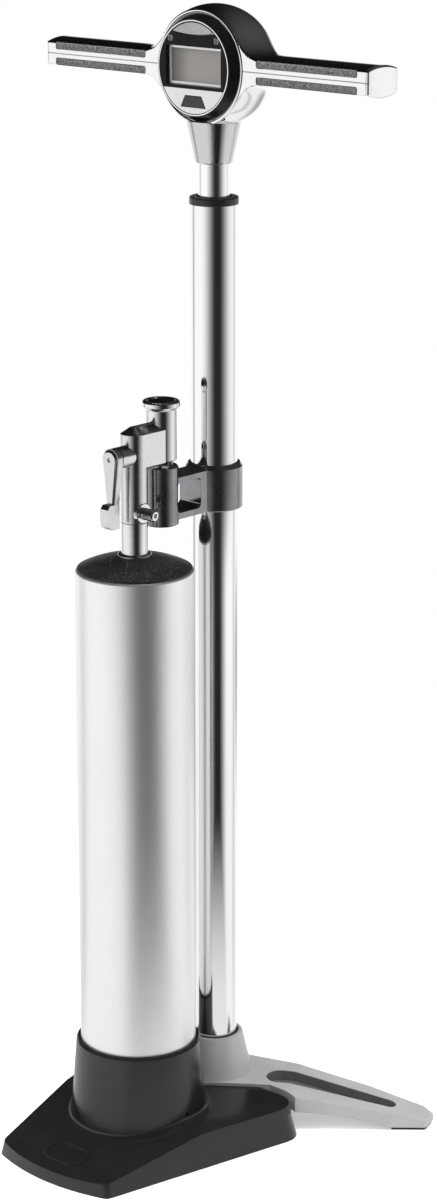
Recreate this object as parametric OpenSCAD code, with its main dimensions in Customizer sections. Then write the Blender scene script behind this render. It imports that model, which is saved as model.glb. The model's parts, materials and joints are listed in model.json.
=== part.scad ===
// Floor pump with a gauge in its T-handle, a barrel, and an air tank with a valve block.
// Frame: origin on the floor under the barrel's centre, +Z up, the handle along X,
// the tank in front of the barrel at -Y, and the legs sloping back towards +Y.

/* [Barrel and rod] */
// Outside diameter of the barrel tube
barrel_d = 30.5; // [29:0.5:33]
// Wall of the barrel tube
barrel_wall = 1.5; // [1.2:0.1:1.8]
// Length of the barrel tube
barrel_l = 605; // [560:5:640]
// Height of the barrel tube's lower end above the floor
barrel_seat = 12; // [11:0.5:14]
// Height of the black cap above the barrel tube
cap_h = 5; // [4:0.5:7]
// How far the cap stands out around the barrel tube
cap_over = 0.5; // [0.3:0.1:1]
// Depth of the cap's skirt inside the barrel tube
cap_skirt = 18; // [14:1:24]
// Outside diameter of the piston rod
rod_d = 20.4; // [18:0.2:21]
// Wall of the piston rod
rod_wall = 1.6; // [1.2:0.1:2.4]
// Gap between the neck cone and the cap as the pump stands
rest_gap = 21; // [16:1:26]

/* [Piston and check valve] */
// Height of the piston head
piston_h = 22; // [20:1:28]
// Height of the barrel's foot plug
plug_h = 22; // [20:1:26]
// Diameter of the air hole through the foot plug's seat
seat_hole_d = 7; // [6:0.5:8]
// Diameter of the check valve poppet
poppet_d = 11; // [10:0.5:12]

/* [Handle] */
// Diameter of the ball in the middle of the handle
ball_d = 77; // [74:1:82]
// Wall of the handle's two shells
shell_wall = 3; // [2.4:0.2:3.4]
// Length of the handle, end to end
handle_l = 271; // [250:1:300]
// Depth of the handle's arms, front to back
handle_w = 28.6; // [26:0.2:32]
// Height of the arms at their middle
handle_h = 19.6; // [18.6:0.2:22]
// Height of the arms' flat front and back faces
handle_face_h = 14.4; // [13:0.2:15]
// How far the handle sits behind the rod's axis
handle_back = 1.3; // [0:0.1:2]
// Height of the ball's centre above the neck cone's lower end
ball_rise = 60.2; // [59:0.2:64]
// Radius of the neck cone at its lower end
neck_r_low = 11.8; // [11.6:0.1:13]
// Radius of the neck cone where it meets the ball
neck_r_top = 17.6; // [16:0.1:19]
// Distance from the handle's middle to where the grip pads start
pad_start = 46.5; // [44:0.5:50]
// Distance from the grip pads' ends to the handle's end
pad_end_in = 8.5; // [7.5:0.5:14]
// Height of each grip pad
pad_h = 4.6; // [4:0.1:5]
// Depth of the recess each grip pad lies in
pad_depth = 1.4; // [1:0.1:1.8]
// Distance of the end groove from the handle's end
end_groove_in = 1.8; // [1.4:0.1:3]

/* [Gauge] */
// How far the chrome ring stands out round the ball's front edge
ring_step = 0.25; // [0.2:0.05:0.5]
// Width of the chrome ring
ring_w = 2.4; // [2:0.1:2.8]
// Diameter of the gauge's round face
face_d = 59; // [57:0.5:60]
// How far the gauge's face stands in front of the handle
face_proud = 6; // [4:0.5:7]
// Depth of the gauge housing behind its face
housing_depth = 26; // [24:0.5:28]
// Width of the display window
lcd_w = 46; // [42:0.5:47]
// Height of the display window
lcd_h = 24; // [22:0.5:24.5]
// Height of the display window's middle above the face's middle
lcd_rise = 1; // [0.4:0.1:1.4]
// Depth of the display window
lcd_recess = 3; // [2:0.1:3.4]
// Travel of the two buttons
button_travel = 0.8; // [0.5:0.1:1]

/* [Tank] */
// Outside diameter of the air tank
tank_d = 76; // [70:1:80]
// Wall of the air tank
tank_wall = 2; // [1.6:0.1:3]
// Length of the tank's silver shell
tank_l = 380; // [340:5:420]
// Height of the tank's lower end above the floor
tank_seat = 13; // [13:0.5:15]
// Distance from the barrel's axis to the tank's axis
tank_gap = 74.5; // [74:0.5:82]
// Rise of the tank's domed lid from its edge to the stem
lid_rise = 8.6; // [6:0.2:11]

/* [Valve block] */
// Diameter of the valve stem
stem_d = 17.2; // [16:0.2:18]
// Height of the stem between the lid and the valve body
stem_h = 21.2; // [18:0.2:26]
// Height of the valve body, column included
body_h = 61; // [58:0.5:66]
// Height of the block that joins the column to the hose cup
block_h = 25; // [22:0.5:27]
// Distance from the stem's axis to the hose cup's axis
cup_gap = 25; // [24:0.5:27]
// Outside diameter of the hose cup's tube
cup_d = 19.9; // [19.6:0.1:20.4]
// Outside diameter of the hose cup's flared rim
cup_rim_d = 24.4; // [23:0.1:26]
// Height of the cup's rim above the valve body's top
cup_rise = 13.5; // [10:0.5:18]
// Diameter of the hose cup's bore
cup_bore_d = 16.6; // [15:0.2:17]
// Depth of the hose cup's bore
cup_depth = 30; // [24:1:34]
// Diameter of the threaded valve nipple
nipple_d = 7.7; // [7.5:0.1:8]
// Length of the nipple outside its flange
nipple_l = 9.6; // [8:0.2:12]
// Height of the nipple above the valve body's lower end
nipple_rise = 6.6; // [6.6:0.2:8]

/* [Valve lever] */
// Height of the lever's axis below the valve body's top
lever_drop = 17.5; // [16:0.5:19]
// Length of the lever from its axis to the knob's middle
lever_l = 36.5; // [30:0.5:37]
// Radius of the lever at its axis
lever_r = 6.9; // [6.4:0.1:7.4]
// Thickness of the lever plate
lever_t = 4.4; // [3.6:0.1:5]
// Diameter of the turning spool
spool_d = 9.9; // [9:0.1:10.4]

/* [Clamp] */
// Height of the clamp ring
clamp_h = 29.5; // [26:0.5:32]
// Wall of the clamp ring
clamp_wall = 3.3; // [3:0.1:4]
// Distance from the top of the clamp's boss down to the clamp ring's lower edge
clamp_drop = 35.9; // [34:0.1:38]
// Width of the clamp's arm
arm_w = 18.8; // [18:0.2:20]
// Radius of the clamp's boss under the hose cup
boss_r = 11; // [10.4:0.1:11.6]
// Height of the window through the clamp's arm
window_h = 20; // [16:0.5:21]

/* [Base] */
// Height of the barrel socket's rim above the floor
socket_h = 53; // [48:0.5:60]
// Radius of the socket's rim
socket_rim_r = 19.1; // [18.6:0.1:20.5]
// Radius of the socket's foot
socket_foot_r = 26; // [25:0.1:27]
// Height of the casting's top face round the socket
hub_h = 25; // [24:0.5:27]
// Length of each leg from the barrel's axis to its tip
leg_l = 150; // [140:1:165]
// Angle by which the legs slope back
leg_back = 27; // [24:1:30]
// Width of each leg at its tip
leg_tip_w = 18; // [16:0.5:22]
// Height of each leg at its tip
leg_tip_h = 7; // [6:0.5:9]
// Thickness of the rubber pads under the legs
leg_pad_t = 2; // [1.5:0.1:2.5]

/* [Tank foot] */
// Height of the foot plate at its back
plate_h = 23; // [22:0.5:24]
// Height of the foot plate at its front edge
plate_front_h = 8; // [7:0.5:10]
// Distance from the barrel's axis to the plate's front edge
plate_front = 164.3; // [160:0.5:176]
// Half the plate's width at its front
plate_front_w = 50.5; // [46:0.5:54]
// Half the plate's width at its back corners
plate_back_w = 80.5; // [78:0.5:84]
// Wall of the foot plate
plate_wall = 3; // [2.5:0.1:4]
// Height of the collar's rim above the floor
collar_h = 73.4; // [66:0.2:80]
// Wall of the collar at its rim
collar_wall = 3; // [2.6:0.1:3.4]

/* [Fits] */
// Radial clearance of sliding and turning fits
run_fit = 0.05; // [0.03:0.01:0.08]
// Radial clearance between fixed pieces
seat_fit = 0.02; // [0.01:0.01:0.04]
// Gap round pieces that move past each other unguided
free_gap = 0.35; // [0.3:0.05:0.5]

/* [Hidden] */
$fn = 96;
EPS = 0.01;
THROUGH = 400;

// Heights and radii that the pieces share
barrel_r = barrel_d / 2;
bore_r = barrel_r - barrel_wall;
rod_r = rod_d / 2;
barrel_top = barrel_seat + barrel_l;
cap_top = barrel_top + cap_h;
neck_z = cap_top + rest_gap;
ball_z = neck_z + ball_rise;
ball_r = ball_d / 2;
handle_front = handle_w / 2;
face_r = face_d / 2;
ring_r = sqrt(ball_r * ball_r - handle_front * handle_front) + ring_step;
gauge_r = ring_r - ring_w;
tank_r = tank_d / 2;
tank_y = -tank_gap;
tank_top = tank_seat + tank_l;
lid_edge_h = 1.2;
lid_top = tank_top + lid_edge_h + lid_rise;
stem_r = stem_d / 2;
body_z = lid_top + stem_h;
body_top = body_z + body_h;
block_z = body_top - block_h;
cup_y = tank_y + cup_gap;
cup_r = cup_d / 2;
cup_top = body_top + cup_rise;
lever_z = body_top - lever_drop;
nipple_z = body_z + nipple_rise;
plug_z = barrel_seat;
plug_top = plug_z + plug_h;
piston_z = plug_top + rest_gap + 3;
rod_z = piston_z + 4;
rod_top = ball_z - gauge_r - 0.6;

// The leg's plan: near is the edge towards the tank foot, far the edge behind it
leg_knee = 60;
leg_near_w = 31.8;
leg_far_w = 18.5;
leg_root_far = 28;
leg_waist = 46;
leg_heel = 48;
leg_near_slope = (leg_near_w - leg_tip_w / 2) / (leg_l - leg_knee);
leg_pocket_depth = 7;
leg_arch = 13;
leg_pad_l = 24;
casting_low = 3;
tongue_top = 9;
tongue_front = 58;
tongue_w = 40;

// The foot plate's plan and draft
plate_bow = 8;
plate_draft = 4.2;
plate_slope_l = 80;
plate_corner_r = 5;
plate_back_r = 15;
plate_corner_y = -12;
plate_notch_r = socket_foot_r + free_gap;
plate_notch_angle = 37;
collar_taper = 3.6;
collar_foot_r = tank_r + collar_wall + collar_taper;

// The air pipe from the casting to the tank
air_tube_r = 2;
air_riser_r = 1.4;
air_z = casting_low + 3;
air_y = -68;

// Seals, check valve and the rod's bush
seal_h = 3;
plug_floor = 4;
seat_z = plug_z + plug_h - 6;
plug_seal_r = bore_r - 2.4;
plug_seal_z = plug_z + plug_h - 4.4;
poppet_h = 4;
poppet_stem = 3.4;
piston_seal_r = bore_r - 2.6;
bush_r = rod_r + 2.4;
bush_h = cap_skirt - 1.2;
wiper_h = 2;
cap_lip = 1.6;
cap_mouth_r = rod_r + 1;

// Handle, grip pads and neck
arm_sag = (handle_h - handle_face_h) / 2;
arm_bend = (handle_front * handle_front + arm_sag * arm_sag) / (2 * arm_sag);
pad_rise = handle_face_h / 2 - pad_h;
pad_reach = 5;
neck_h = 27;
pad_l = handle_l / 2 - pad_start - pad_end_in;

// Gauge
ring_depth = 2.4;
face_t = 3.8;
segment_t = 1;
segment_top = -13;
power_top = face_r - 1.6;
ledge_r = power_top + free_gap;
power_low = 20.5;
power_bend = 99.4;
mode_top = -17.3;
mode_low = -24;
board_t = 1.2;
board_out = -3;
screw_grip = 5;
screw_under = face_proud - face_t - board_out + screw_grip - 1;
contact_h = face_proud - face_t - 0.5 - board_out - board_t - button_travel;

// Clamp, lid and valve
clamp_r = barrel_r + clamp_wall;
clamp_screw_r = 1.9;
boss_top = block_z - 3.5;
clamp_z = boss_top - clamp_drop;
lid_skirt = 12;
lid_bend = ((tank_r - 1.2) * (tank_r - 1.2) + lid_rise * lid_rise) / (2 * lid_rise);
flange_r = 10.85;
air_bore_r = 3;
stem_low = tank_top - 4;
body_chamfer = 4;
body_flat = 2.6;
lever_out = 16.2;
spool_in = 7;
cup_rim_r = cup_rim_d / 2;
nipple_flange_r = 6.55;
nipple_flange_t = 4.4;
nipple_flange_x = 4.5;
core_r = 2.2;
core_l = 5;
core_pin_r = 0.7;
lever_tip = 3;
lever_face_t = 1.3;
knob_w = 6.6;
knob_h = 16;

// Screws
screw_r = 1.5;
screw_head_r = 2.9;
screw_head_h = 1.8;

module tube(r_out, r_in, h) {
    difference() {
        cylinder(r = r_out, h = h);
        translate([0, 0, -EPS])
            cylinder(r = r_in, h = h + 2 * EPS);
    }
}

// A ring with a square section, cut as a groove or made as a seal
module groove(r_out, r_in, z, h) {
    translate([0, 0, z])
        tube(r_out, r_in, h);
}

module both_sides() {
    children();
    mirror([1, 0, 0])
        children();
}

// ---- Base casting -------------------------------------------------------

module leg_frame() {
    rotate([0, 0, leg_back])
        children();
}

module leg_plan() {
    tip = leg_tip_w / 2;
    near_root = leg_near_w + leg_near_slope * leg_knee;
    polygon([
        [0, -near_root],
        [leg_l - 1.5, -tip],
        [leg_l, 1.5 - tip],
        [leg_l + 2, tip - 4],
        [leg_l - 6, tip + 2.6],
        [leg_l - leg_waist, leg_far_w - 1.2],
        [leg_knee, leg_far_w],
        [0, leg_root_far]
    ]);
}

// Side view of a leg, along the leg and up, less a depth taken off its top
module leg_side(down = 0) {
    polygon([
        [-leg_knee, casting_low],
        [leg_knee / 2, casting_low],
        [leg_knee * 0.75, leg_arch - 3],
        [leg_knee, leg_arch],
        [leg_knee + 14, leg_arch - 1],
        [leg_l - leg_heel, leg_arch - 5],
        [leg_l - leg_pad_l, leg_pad_t],
        [leg_l + 5, leg_pad_t],
        [leg_l + 5, leg_tip_h - 1 - down],
        [leg_knee - 4, hub_h - down],
        [-leg_knee, hub_h - down]
    ]);
}

module leg_side_solid(down = 0) {
    rotate([90, 0, 0])
        linear_extrude(height = THROUGH, center = true)
            leg_side(down);
}

module leg_pocket_plan() {
    hull() {
        translate([leg_knee - 12, -4])
            circle(r = 9.8);
        translate([leg_l - 28, 0.5])
            circle(r = 5);
    }
}

module leg() {
    leg_frame()
        difference() {
            intersection() {
                linear_extrude(height = hub_h)
                    leg_plan();
                leg_side_solid();
            }
            difference() {
                linear_extrude(height = hub_h + 1)
                    leg_pocket_plan();
                leg_side_solid(leg_pocket_depth);
            }
        }
}

module socket_outer() {
    rotate_extrude()
        polygon([
            [0, casting_low],
            [socket_foot_r, casting_low],
            [socket_foot_r, hub_h - 0.5],
            [socket_foot_r - 0.9, hub_h + 1.4],
            [socket_rim_r + 0.3, socket_h - 1],
            [socket_rim_r - 0.6, socket_h],
            [0, socket_h]
        ]);
}

// What the foot plate covers, grown by a gap, above the casting's tongue
module plate_cover(gap) {
    translate([0, 0, tongue_top])
        linear_extrude(height = socket_h)
            difference() {
                offset(delta = gap)
                    plate_plan(0);
                plate_notch_plan(-gap);
            }
    translate([0, tank_y, tongue_top])
        cylinder(r = collar_foot_r + gap, h = socket_h);
}

module base_casting() color([0.78, 0.76, 0.76]) {
    difference() {
        union() {
            difference() {
                union() {
                    both_sides()
                        leg();
                    translate([-tongue_w / 2, -tongue_front, casting_low])
                        cube([tongue_w, tongue_front, tongue_top - casting_low]);
                }
                plate_cover(free_gap);
            }
            socket_outer();
            cylinder(r = socket_rim_r, h = casting_low + EPS);
        }
        translate([0, 0, barrel_seat])
            cylinder(r = barrel_r + seat_fit, h = socket_h);
        translate([0, 0, socket_h - 8])
            cylinder(r = barrel_r + 1.3, h = 9);
        translate([0, 0, casting_low + 3])
            cylinder(r = 4, h = barrel_seat);
        // Air passage towards the tank
        translate([0, 0, air_z])
            rotate([90, 0, 0])
                cylinder(r = air_tube_r + seat_fit, h = tongue_front + 1);
        tongue_screws_at()
            translate([0, 0, casting_low - 1])
                cylinder(r = screw_r + 0.2, h = tongue_top);
    }
}

// Screw places through the tongue up into the foot plate's bosses
module tongue_screws_at() {
    for (x = [-13, 13])
        translate([x, -tongue_front + 8, 0])
            children();
}

module leg_pad(side) {
    color([0.12, 0.12, 0.13])
        mirror([side < 0 ? 1 : 0, 0, 0])
            leg_frame()
                linear_extrude(height = leg_pad_t)
                    intersection() {
                        translate([leg_l - leg_pad_l + 1, -THROUGH / 2])
                            square([leg_pad_l, THROUGH]);
                        offset(delta = -1)
                            leg_plan();
                    }
}

module leg_pad_right() {
    leg_pad(1);
}

module leg_pad_left() {
    leg_pad(-1);
}

// ---- Tank foot ----------------------------------------------------------

// Plan of the foot plate, moved in by a distance on every side
module plate_plan(inset) {
    front_w = plate_front_w - inset;
    back_w = plate_back_w - inset;
    front_y = -plate_front + plate_bow + inset;
    hull() {
        for (x = [-1, 1]) {
            translate([x * (front_w - plate_corner_r), front_y + plate_corner_r])
                circle(r = plate_corner_r, $fn = 32);
            translate([x * (back_w - plate_back_r), plate_corner_y - inset])
                circle(r = plate_back_r, $fn = 32);
        }
        polygon([
            for (i = [-10:10])
                let (u = i / 10)
                [u * (front_w - 3), front_y - plate_bow * (1 - u * u)]
        ]);
    }
}

// The open vee behind the plate, where the casting's hub and legs lie
module plate_notch_plan(grow = 0) {
    apex = -plate_notch_r / cos(plate_notch_angle) - grow;
    far = 140;
    polygon([
        [0, apex],
        [far, apex + far * tan(plate_notch_angle)],
        [-far, apex + far * tan(plate_notch_angle)]
    ]);
}

module slab(z, inset) {
    translate([0, 0, z - EPS])
        linear_extrude(height = EPS)
            plate_plan(inset);
}

// Side view of the plate: level at the back, sloping down to the front
module plate_side(down) {
    translate([-THROUGH / 2, 0, 0])
        rotate([90, 0, 90])
            linear_extrude(height = THROUGH)
                polygon([
                    [THROUGH, 0],
                    [THROUGH, plate_h - down],
                    [-plate_slope_l, plate_h - down],
                    [-plate_front + plate_bow / 2, plate_front_h - down],
                    [-THROUGH, plate_front_h - down],
                    [-THROUGH, 0]
                ]);
}

// The plate as a solid, its sides drafted
module plate_solid(down, inset) {
    intersection() {
        hull() {
            slab(EPS, inset);
            slab(plate_h + 2, plate_draft + inset);
        }
        plate_side(down);
    }
}

module collar_solid() {
    foot = collar_foot_r;
    rim = tank_r + collar_wall;
    rotate_extrude()
        polygon([
            [0, 0],
            [foot + 0.8, 0],
            [foot + 0.8, plate_front_h],
            [foot, plate_h + 2],
            [rim, collar_h - 1.2],
            [rim - 1, collar_h],
            [0, collar_h]
        ]);
}

// Plan of the space under the plate that the casting's tongue and leg roots need
module casting_room_plan() {
    both_sides()
        leg_frame()
            intersection() {
                offset(delta = free_gap)
                    leg_plan();
                translate([0, -THROUGH / 2])
                    square([leg_knee * 0.75, THROUGH]);
            }
    translate([-tongue_w / 2 - free_gap, -tongue_front - free_gap])
        square([tongue_w + 2 * free_gap, tongue_front]);
}

module tank_foot() color([0.16, 0.15, 0.16]) {
    difference() {
        union() {
            difference() {
                plate_solid(0, 0);
                difference() {
                    translate([0, 0, -1])
                        plate_solid(plate_wall - 1, plate_wall);
                    translate([0, tank_y, -2])
                        cylinder(r = collar_foot_r - 2, h = plate_h + 2);
                    translate([0, 0, -2])
                        linear_extrude(height = plate_h + 4)
                            plate_notch_plan(plate_wall);
                }
                // The vee at the back, open above and below
                translate([0, 0, -1])
                    linear_extrude(height = plate_h + 4)
                        plate_notch_plan();
            }
            translate([0, tank_y, 0])
                collar_solid();
        }
        // Room for the casting's tongue and legs underneath
        translate([0, 0, -1])
            linear_extrude(height = tongue_top + 1 + free_gap)
                casting_room_plan();
        translate([0, tank_y, tank_seat])
            cylinder(r = tank_r + seat_fit, h = collar_h);
        // Air passage from the tongue up into the tank
        translate([0, -tongue_front + 1, air_z])
            rotate([90, 0, 0])
                cylinder(r = air_tube_r + seat_fit, h = -air_y - tongue_front + 1);
        translate([0, air_y + 1, air_z])
            cylinder(r = air_riser_r, h = plate_h);
        tongue_screws_at()
            cylinder(r = screw_r, h = tongue_top + 3);
        collar_screws_at()
            cylinder(r = screw_r, h = 20, center = true);
    }
}

// Set screws through the collar, one on each side of the tank
module collar_screws_at() {
    for (turn = [0, 180])
        translate([0, tank_y, plate_h + 6.5])
            rotate([0, 90, turn])
                translate([0, 0, tank_r + collar_wall])
                    children();
}

module foot_screws() color([0.6, 0.6, 0.62])
    tongue_screws_at()
        translate([0, 0, casting_low - screw_head_h]) {
            cylinder(r = screw_head_r, h = screw_head_h);
            cylinder(r = screw_r - seat_fit, h = screw_head_h + tongue_top - casting_low + 2);
        }

module collar_screws() color([0.1, 0.1, 0.11])
    collar_screws_at()
        translate([0, 0, -collar_wall + 0.3])
            cylinder(r = screw_r - seat_fit, h = collar_wall + collar_taper - 1.4);

// ---- Barrel -------------------------------------------------------------

module barrel_tube() color([0.85, 0.85, 0.86])
    translate([0, 0, barrel_seat])
        tube(barrel_r, bore_r, barrel_l);

module foot_plug() color([0.15, 0.15, 0.16])
    difference() {
        translate([0, 0, plug_z])
            cylinder(r = bore_r - seat_fit, h = plug_h);
        groove(THROUGH, plug_seal_r, plug_seal_z, seal_h);
        translate([0, 0, plug_z - 1])
            cylinder(r = poppet_d / 2 - 2, h = plug_h);
        translate([0, 0, plug_z + plug_floor])
            cylinder(r = poppet_d / 2 + run_fit, h = seat_z - plug_z - plug_floor);
        translate([0, 0, seat_z - 1])
            cylinder(r = seat_hole_d / 2, h = plug_h);
    }

module plug_seal() color([0.08, 0.08, 0.08])
    groove(bore_r - seat_fit, plug_seal_r, plug_seal_z + seat_fit, seal_h - 2 * seat_fit);

// The poppet seats upwards; notches round its edge let the air past when it opens
module check_poppet() color([0.2, 0.2, 0.21])
    difference() {
        translate([0, 0, seat_z - seat_fit - poppet_h]) {
            cylinder(r = poppet_d / 2, h = poppet_h);
            translate([0, 0, -poppet_stem])
                cylinder(r = 1.6, h = poppet_stem + 1);
        }
        for (turn = [0, 120, 240])
            rotate([0, 0, turn])
                translate([seat_hole_d / 2 + 0.9, -1.5, seat_z - poppet_h - 1])
                    cube([4, 3, poppet_h + 2]);
    }

module coil(r, wire, h, turns) {
    linear_extrude(height = h, twist = -360 * turns, slices = turns * 16, $fn = 16)
        translate([r, 0])
            circle(r = wire, $fn = 8);
}

module check_spring() color([0.7, 0.7, 0.72])
    translate([0, 0, plug_z + plug_floor])
        coil(3.9, 0.4, seat_z - poppet_h - plug_z - plug_floor - seat_fit, 4);

module barrel_cap() color([0.13, 0.13, 0.14])
    rotate_extrude()
        polygon([
            [bush_r + seat_fit, barrel_top - cap_skirt],
            [bore_r - seat_fit, barrel_top - cap_skirt],
            [bore_r - seat_fit, barrel_top],
            [barrel_r + cap_over, barrel_top],
            [barrel_r + cap_over, cap_top - 0.7],
            [barrel_r + cap_over - 0.7, cap_top],
            [cap_mouth_r, cap_top],
            [cap_mouth_r, cap_top - cap_lip],
            [bush_r + seat_fit, cap_top - cap_lip]
        ]);

module rod_bush() color([0.85, 0.83, 0.78])
    translate([0, 0, barrel_top - cap_skirt + 1])
        tube(bush_r, rod_r + run_fit, bush_h);

module rod_wiper() color([0.07, 0.07, 0.07])
    translate([0, 0, barrel_top - cap_skirt + 1 + bush_h])
        tube(bush_r, rod_r + run_fit, wiper_h);

// ---- Piston and rod -----------------------------------------------------

module piston_head() color([0.2, 0.2, 0.21])
    difference() {
        translate([0, 0, piston_z])
            cylinder(r = bore_r - free_gap, h = piston_h);
        groove(THROUGH, piston_seal_r, piston_z + 4, seal_h);
        groove(THROUGH, piston_seal_r, piston_z + piston_h - 4 - seal_h, seal_h);
        translate([0, 0, rod_z])
            cylinder(r = rod_r + seat_fit, h = piston_h);
    }

module piston_seal() color([0.07, 0.07, 0.07])
    groove(bore_r - run_fit, piston_seal_r + run_fit, piston_z + 4 + run_fit, seal_h - 2 * run_fit);

module piston_guide() color([0.85, 0.83, 0.78])
    groove(bore_r - run_fit, piston_seal_r + run_fit,
        piston_z + piston_h - 4 - seal_h + run_fit, seal_h - 2 * run_fit);

module piston_rod() color([0.86, 0.86, 0.87])
    translate([0, 0, rod_z])
        tube(rod_r, rod_r - rod_wall, rod_top - rod_z);

// ---- Handle -------------------------------------------------------------

// Everything on the handle is drawn about the ball's centre
module at_ball() {
    translate([0, handle_back, ball_z])
        children();
}

// Drawn with its height along X, then laid along the handle
module along_arm(from, to) {
    translate([from, 0, 0])
        rotate([0, 90, 0])
            rotate([0, 0, 180])
                linear_extrude(height = to - from)
                    children();
}

module arm_bar(half_l, inset) {
    along_arm(-half_l, half_l)
        intersection_for (side = [-1, 1])
            intersection() {
                square([handle_h - 2 * inset, handle_w - 2 * inset], center = true);
                translate([side * (arm_bend - handle_h / 2 + inset), 0])
                    circle(r = arm_bend, $fn = 256);
            }
}

// Where the arms widen into the ball
module arm_flare() {
    for (side = [0, 180])
        rotate([0, 90, side])
            translate([0, 0, ball_r * 0.7])
                cylinder(r1 = handle_h * 0.95, r2 = handle_h / 2 - 1, h = ball_r * 0.5);
}

module handle_solid() {
    at_ball() {
        intersection() {
            union() {
                sphere(r = ball_r, $fn = 128);
                arm_flare();
            }
            translate([-THROUGH / 2, -handle_front, -THROUGH / 2])
                cube([THROUGH, THROUGH, THROUGH]);
        }
        arm_bar(handle_l / 2, 0);
    }
}

module handle_hollow() {
    at_ball() {
        intersection() {
            sphere(r = ball_r - shell_wall, $fn = 128);
            translate([-THROUGH / 2, -handle_front + shell_wall, -THROUGH / 2])
                cube([THROUGH, THROUGH, THROUGH]);
        }
        arm_bar(handle_l / 2 - shell_wall, shell_wall);
        translate([0, -handle_front - 1, 0])
            rotate([-90, 0, 0])
                cylinder(r = ring_r + seat_fit, h = ring_depth + 1);
        translate([0, -handle_front - 1, 0])
            rotate([-90, 0, 0])
                cylinder(r = gauge_r + seat_fit, h = housing_depth + 1);
    }
}

// Zone of one grip pad, at the front upper right, in the handle's own frame
module pad_zone(gap) {
    translate([pad_start - gap, -handle_front - 1, pad_rise - gap])
        cube([pad_l + 2 * gap, pad_reach + 1 + gap, handle_h]);
}

module pad_recess() {
    intersection() {
        difference() {
            arm_bar(handle_l / 2 - 1, -1);
            arm_bar(handle_l / 2, pad_depth);
        }
        pad_zone(0);
    }
}

module all_pad_places() {
    for (front = [0, 1], right = [0, 1], upper = [0, 1])
        pad_place(front, right, upper)
            children();
}

module pad_place(front, right, upper) {
    at_ball()
        mirror([right == 1 ? 0 : 1, 0, 0])
            mirror([0, front == 1 ? 0 : 1, 0])
                mirror([0, 0, upper == 1 ? 0 : 1])
                    children();
}

module grip_pad(front, right, upper) color([0.33, 0.33, 0.34])
    pad_place(front, right, upper)
        intersection() {
            difference() {
                arm_bar(handle_l / 2 - 1, 0);
                arm_bar(handle_l / 2, pad_depth - seat_fit);
            }
            pad_zone(-seat_fit);
        }

// The narrow groove round each end of the handle
module end_grooves() {
    at_ball()
        both_sides()
            difference() {
                translate([handle_l / 2 - end_groove_in - 0.4, -handle_w, -handle_h])
                    cube([0.8, 2 * handle_w, 2 * handle_h]);
                arm_bar(handle_l / 2 - 1, 0.6);
            }
}

module shell_solid() {
    difference() {
        handle_solid();
        handle_hollow();
        all_pad_places()
            pad_recess();
        end_grooves();
        translate([0, 0, neck_z - 1])
            cylinder(r = rod_r + seat_fit, h = rod_top - neck_z + 1);
    }
    // Bosses that take the shell screws
    intersection() {
        difference() {
            both_sides()
                shell_screws_at()
                    cylinder(r = 4, h = handle_h - 2, center = true);
            both_sides()
                shell_screws_at()
                    cylinder(r = screw_r, h = handle_h - 5, center = true);
            at_ball()
                translate([0, -handle_front - 1, 0])
                    rotate([-90, 0, 0])
                        cylinder(r = gauge_r, h = housing_depth + 3);
        }
        at_ball() {
            sphere(r = ball_r - 1, $fn = 64);
            arm_bar(handle_l / 2 - 1, 1.5);
        }
    }
}

module shell_screws_at() {
    for (x = [ring_r + 7, pad_start + pad_l / 2, handle_l / 2 - 7.5])
        translate([x, handle_back, ball_z])
            children();
}

module shell_upper() color([0.13, 0.12, 0.13])
    intersection() {
        shell_solid();
        translate([-THROUGH / 2, -THROUGH / 2, ball_z])
            cube([THROUGH, THROUGH, THROUGH]);
    }

module shell_lower() color([0.13, 0.12, 0.13])
    intersection() {
        shell_solid();
        translate([-THROUGH / 2, -THROUGH / 2, ball_z - THROUGH])
            cube([THROUGH, THROUGH, THROUGH]);
    }

module shell_screws() color([0.62, 0.62, 0.64])
    both_sides()
        shell_screws_at()
            cylinder(r = screw_r - seat_fit, h = handle_h - 6.5, center = true);

module neck_cone() color([0.13, 0.12, 0.13])
    difference() {
        translate([0, 0, neck_z]) {
            cylinder(r1 = neck_r_low - 0.6, r2 = neck_r_low, h = 0.6);
            translate([0, 0, 0.6])
                cylinder(r1 = neck_r_low, r2 = neck_r_top, h = neck_h);
        }
        at_ball()
            sphere(r = ball_r + seat_fit, $fn = 128);
        at_gauge(-ring_depth)
            cylinder(r = ring_r + seat_fit, h = ring_depth + 1);
        translate([0, 0, neck_z - 1])
            cylinder(r = rod_r + seat_fit, h = THROUGH);
    }

// ---- Gauge --------------------------------------------------------------

// Gauge pieces are turned about an axis that points out of the gauge
module at_gauge(out = 0) {
    translate([0, handle_back - handle_front - out, ball_z])
        rotate([90, 0, 0])
            children();
}

module gauge_ring() color([0.9, 0.9, 0.91])
    at_gauge(-ring_depth)
        rotate_extrude()
            polygon([
                [gauge_r + seat_fit, 0],
                [ring_r, 0],
                [ring_r, ring_depth],
                [ring_r - ring_w / 3, ring_depth + 0.7],
                [ring_r - ring_w * 2 / 3, ring_depth + 0.7],
                [gauge_r + seat_fit, ring_depth]
            ]);

module gauge_housing() color([0.1, 0.1, 0.11])
    difference() {
        at_gauge(-housing_depth) {
            rotate_extrude()
                polygon([
                    [0, 0],
                    [gauge_r - 3, 0],
                    [gauge_r, 3],
                    [gauge_r, housing_depth],
                    [face_r + 0.5, housing_depth + face_proud],
                    [face_r, housing_depth + face_proud],
                    [face_r, housing_depth + face_proud - face_t],
                    [ledge_r, housing_depth + face_proud - face_t],
                    [ledge_r, shell_wall],
                    [0, shell_wall]
                ]);
            // Bosses under the circuit board for the face screws
            face_screws_at()
                translate([0, 0, shell_wall - 1])
                    cylinder(r = screw_r + 1.5, h = housing_depth + board_out - shell_wall + 1);
        }
        at_gauge(board_out - screw_grip)
            face_screws_at()
                cylinder(r = screw_r, h = screw_grip + 1);
    }

module lcd_plan(inset) {
    translate([0, lcd_rise])
        square([lcd_w - 2 * inset, lcd_h - 2 * inset], center = true);
}

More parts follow.
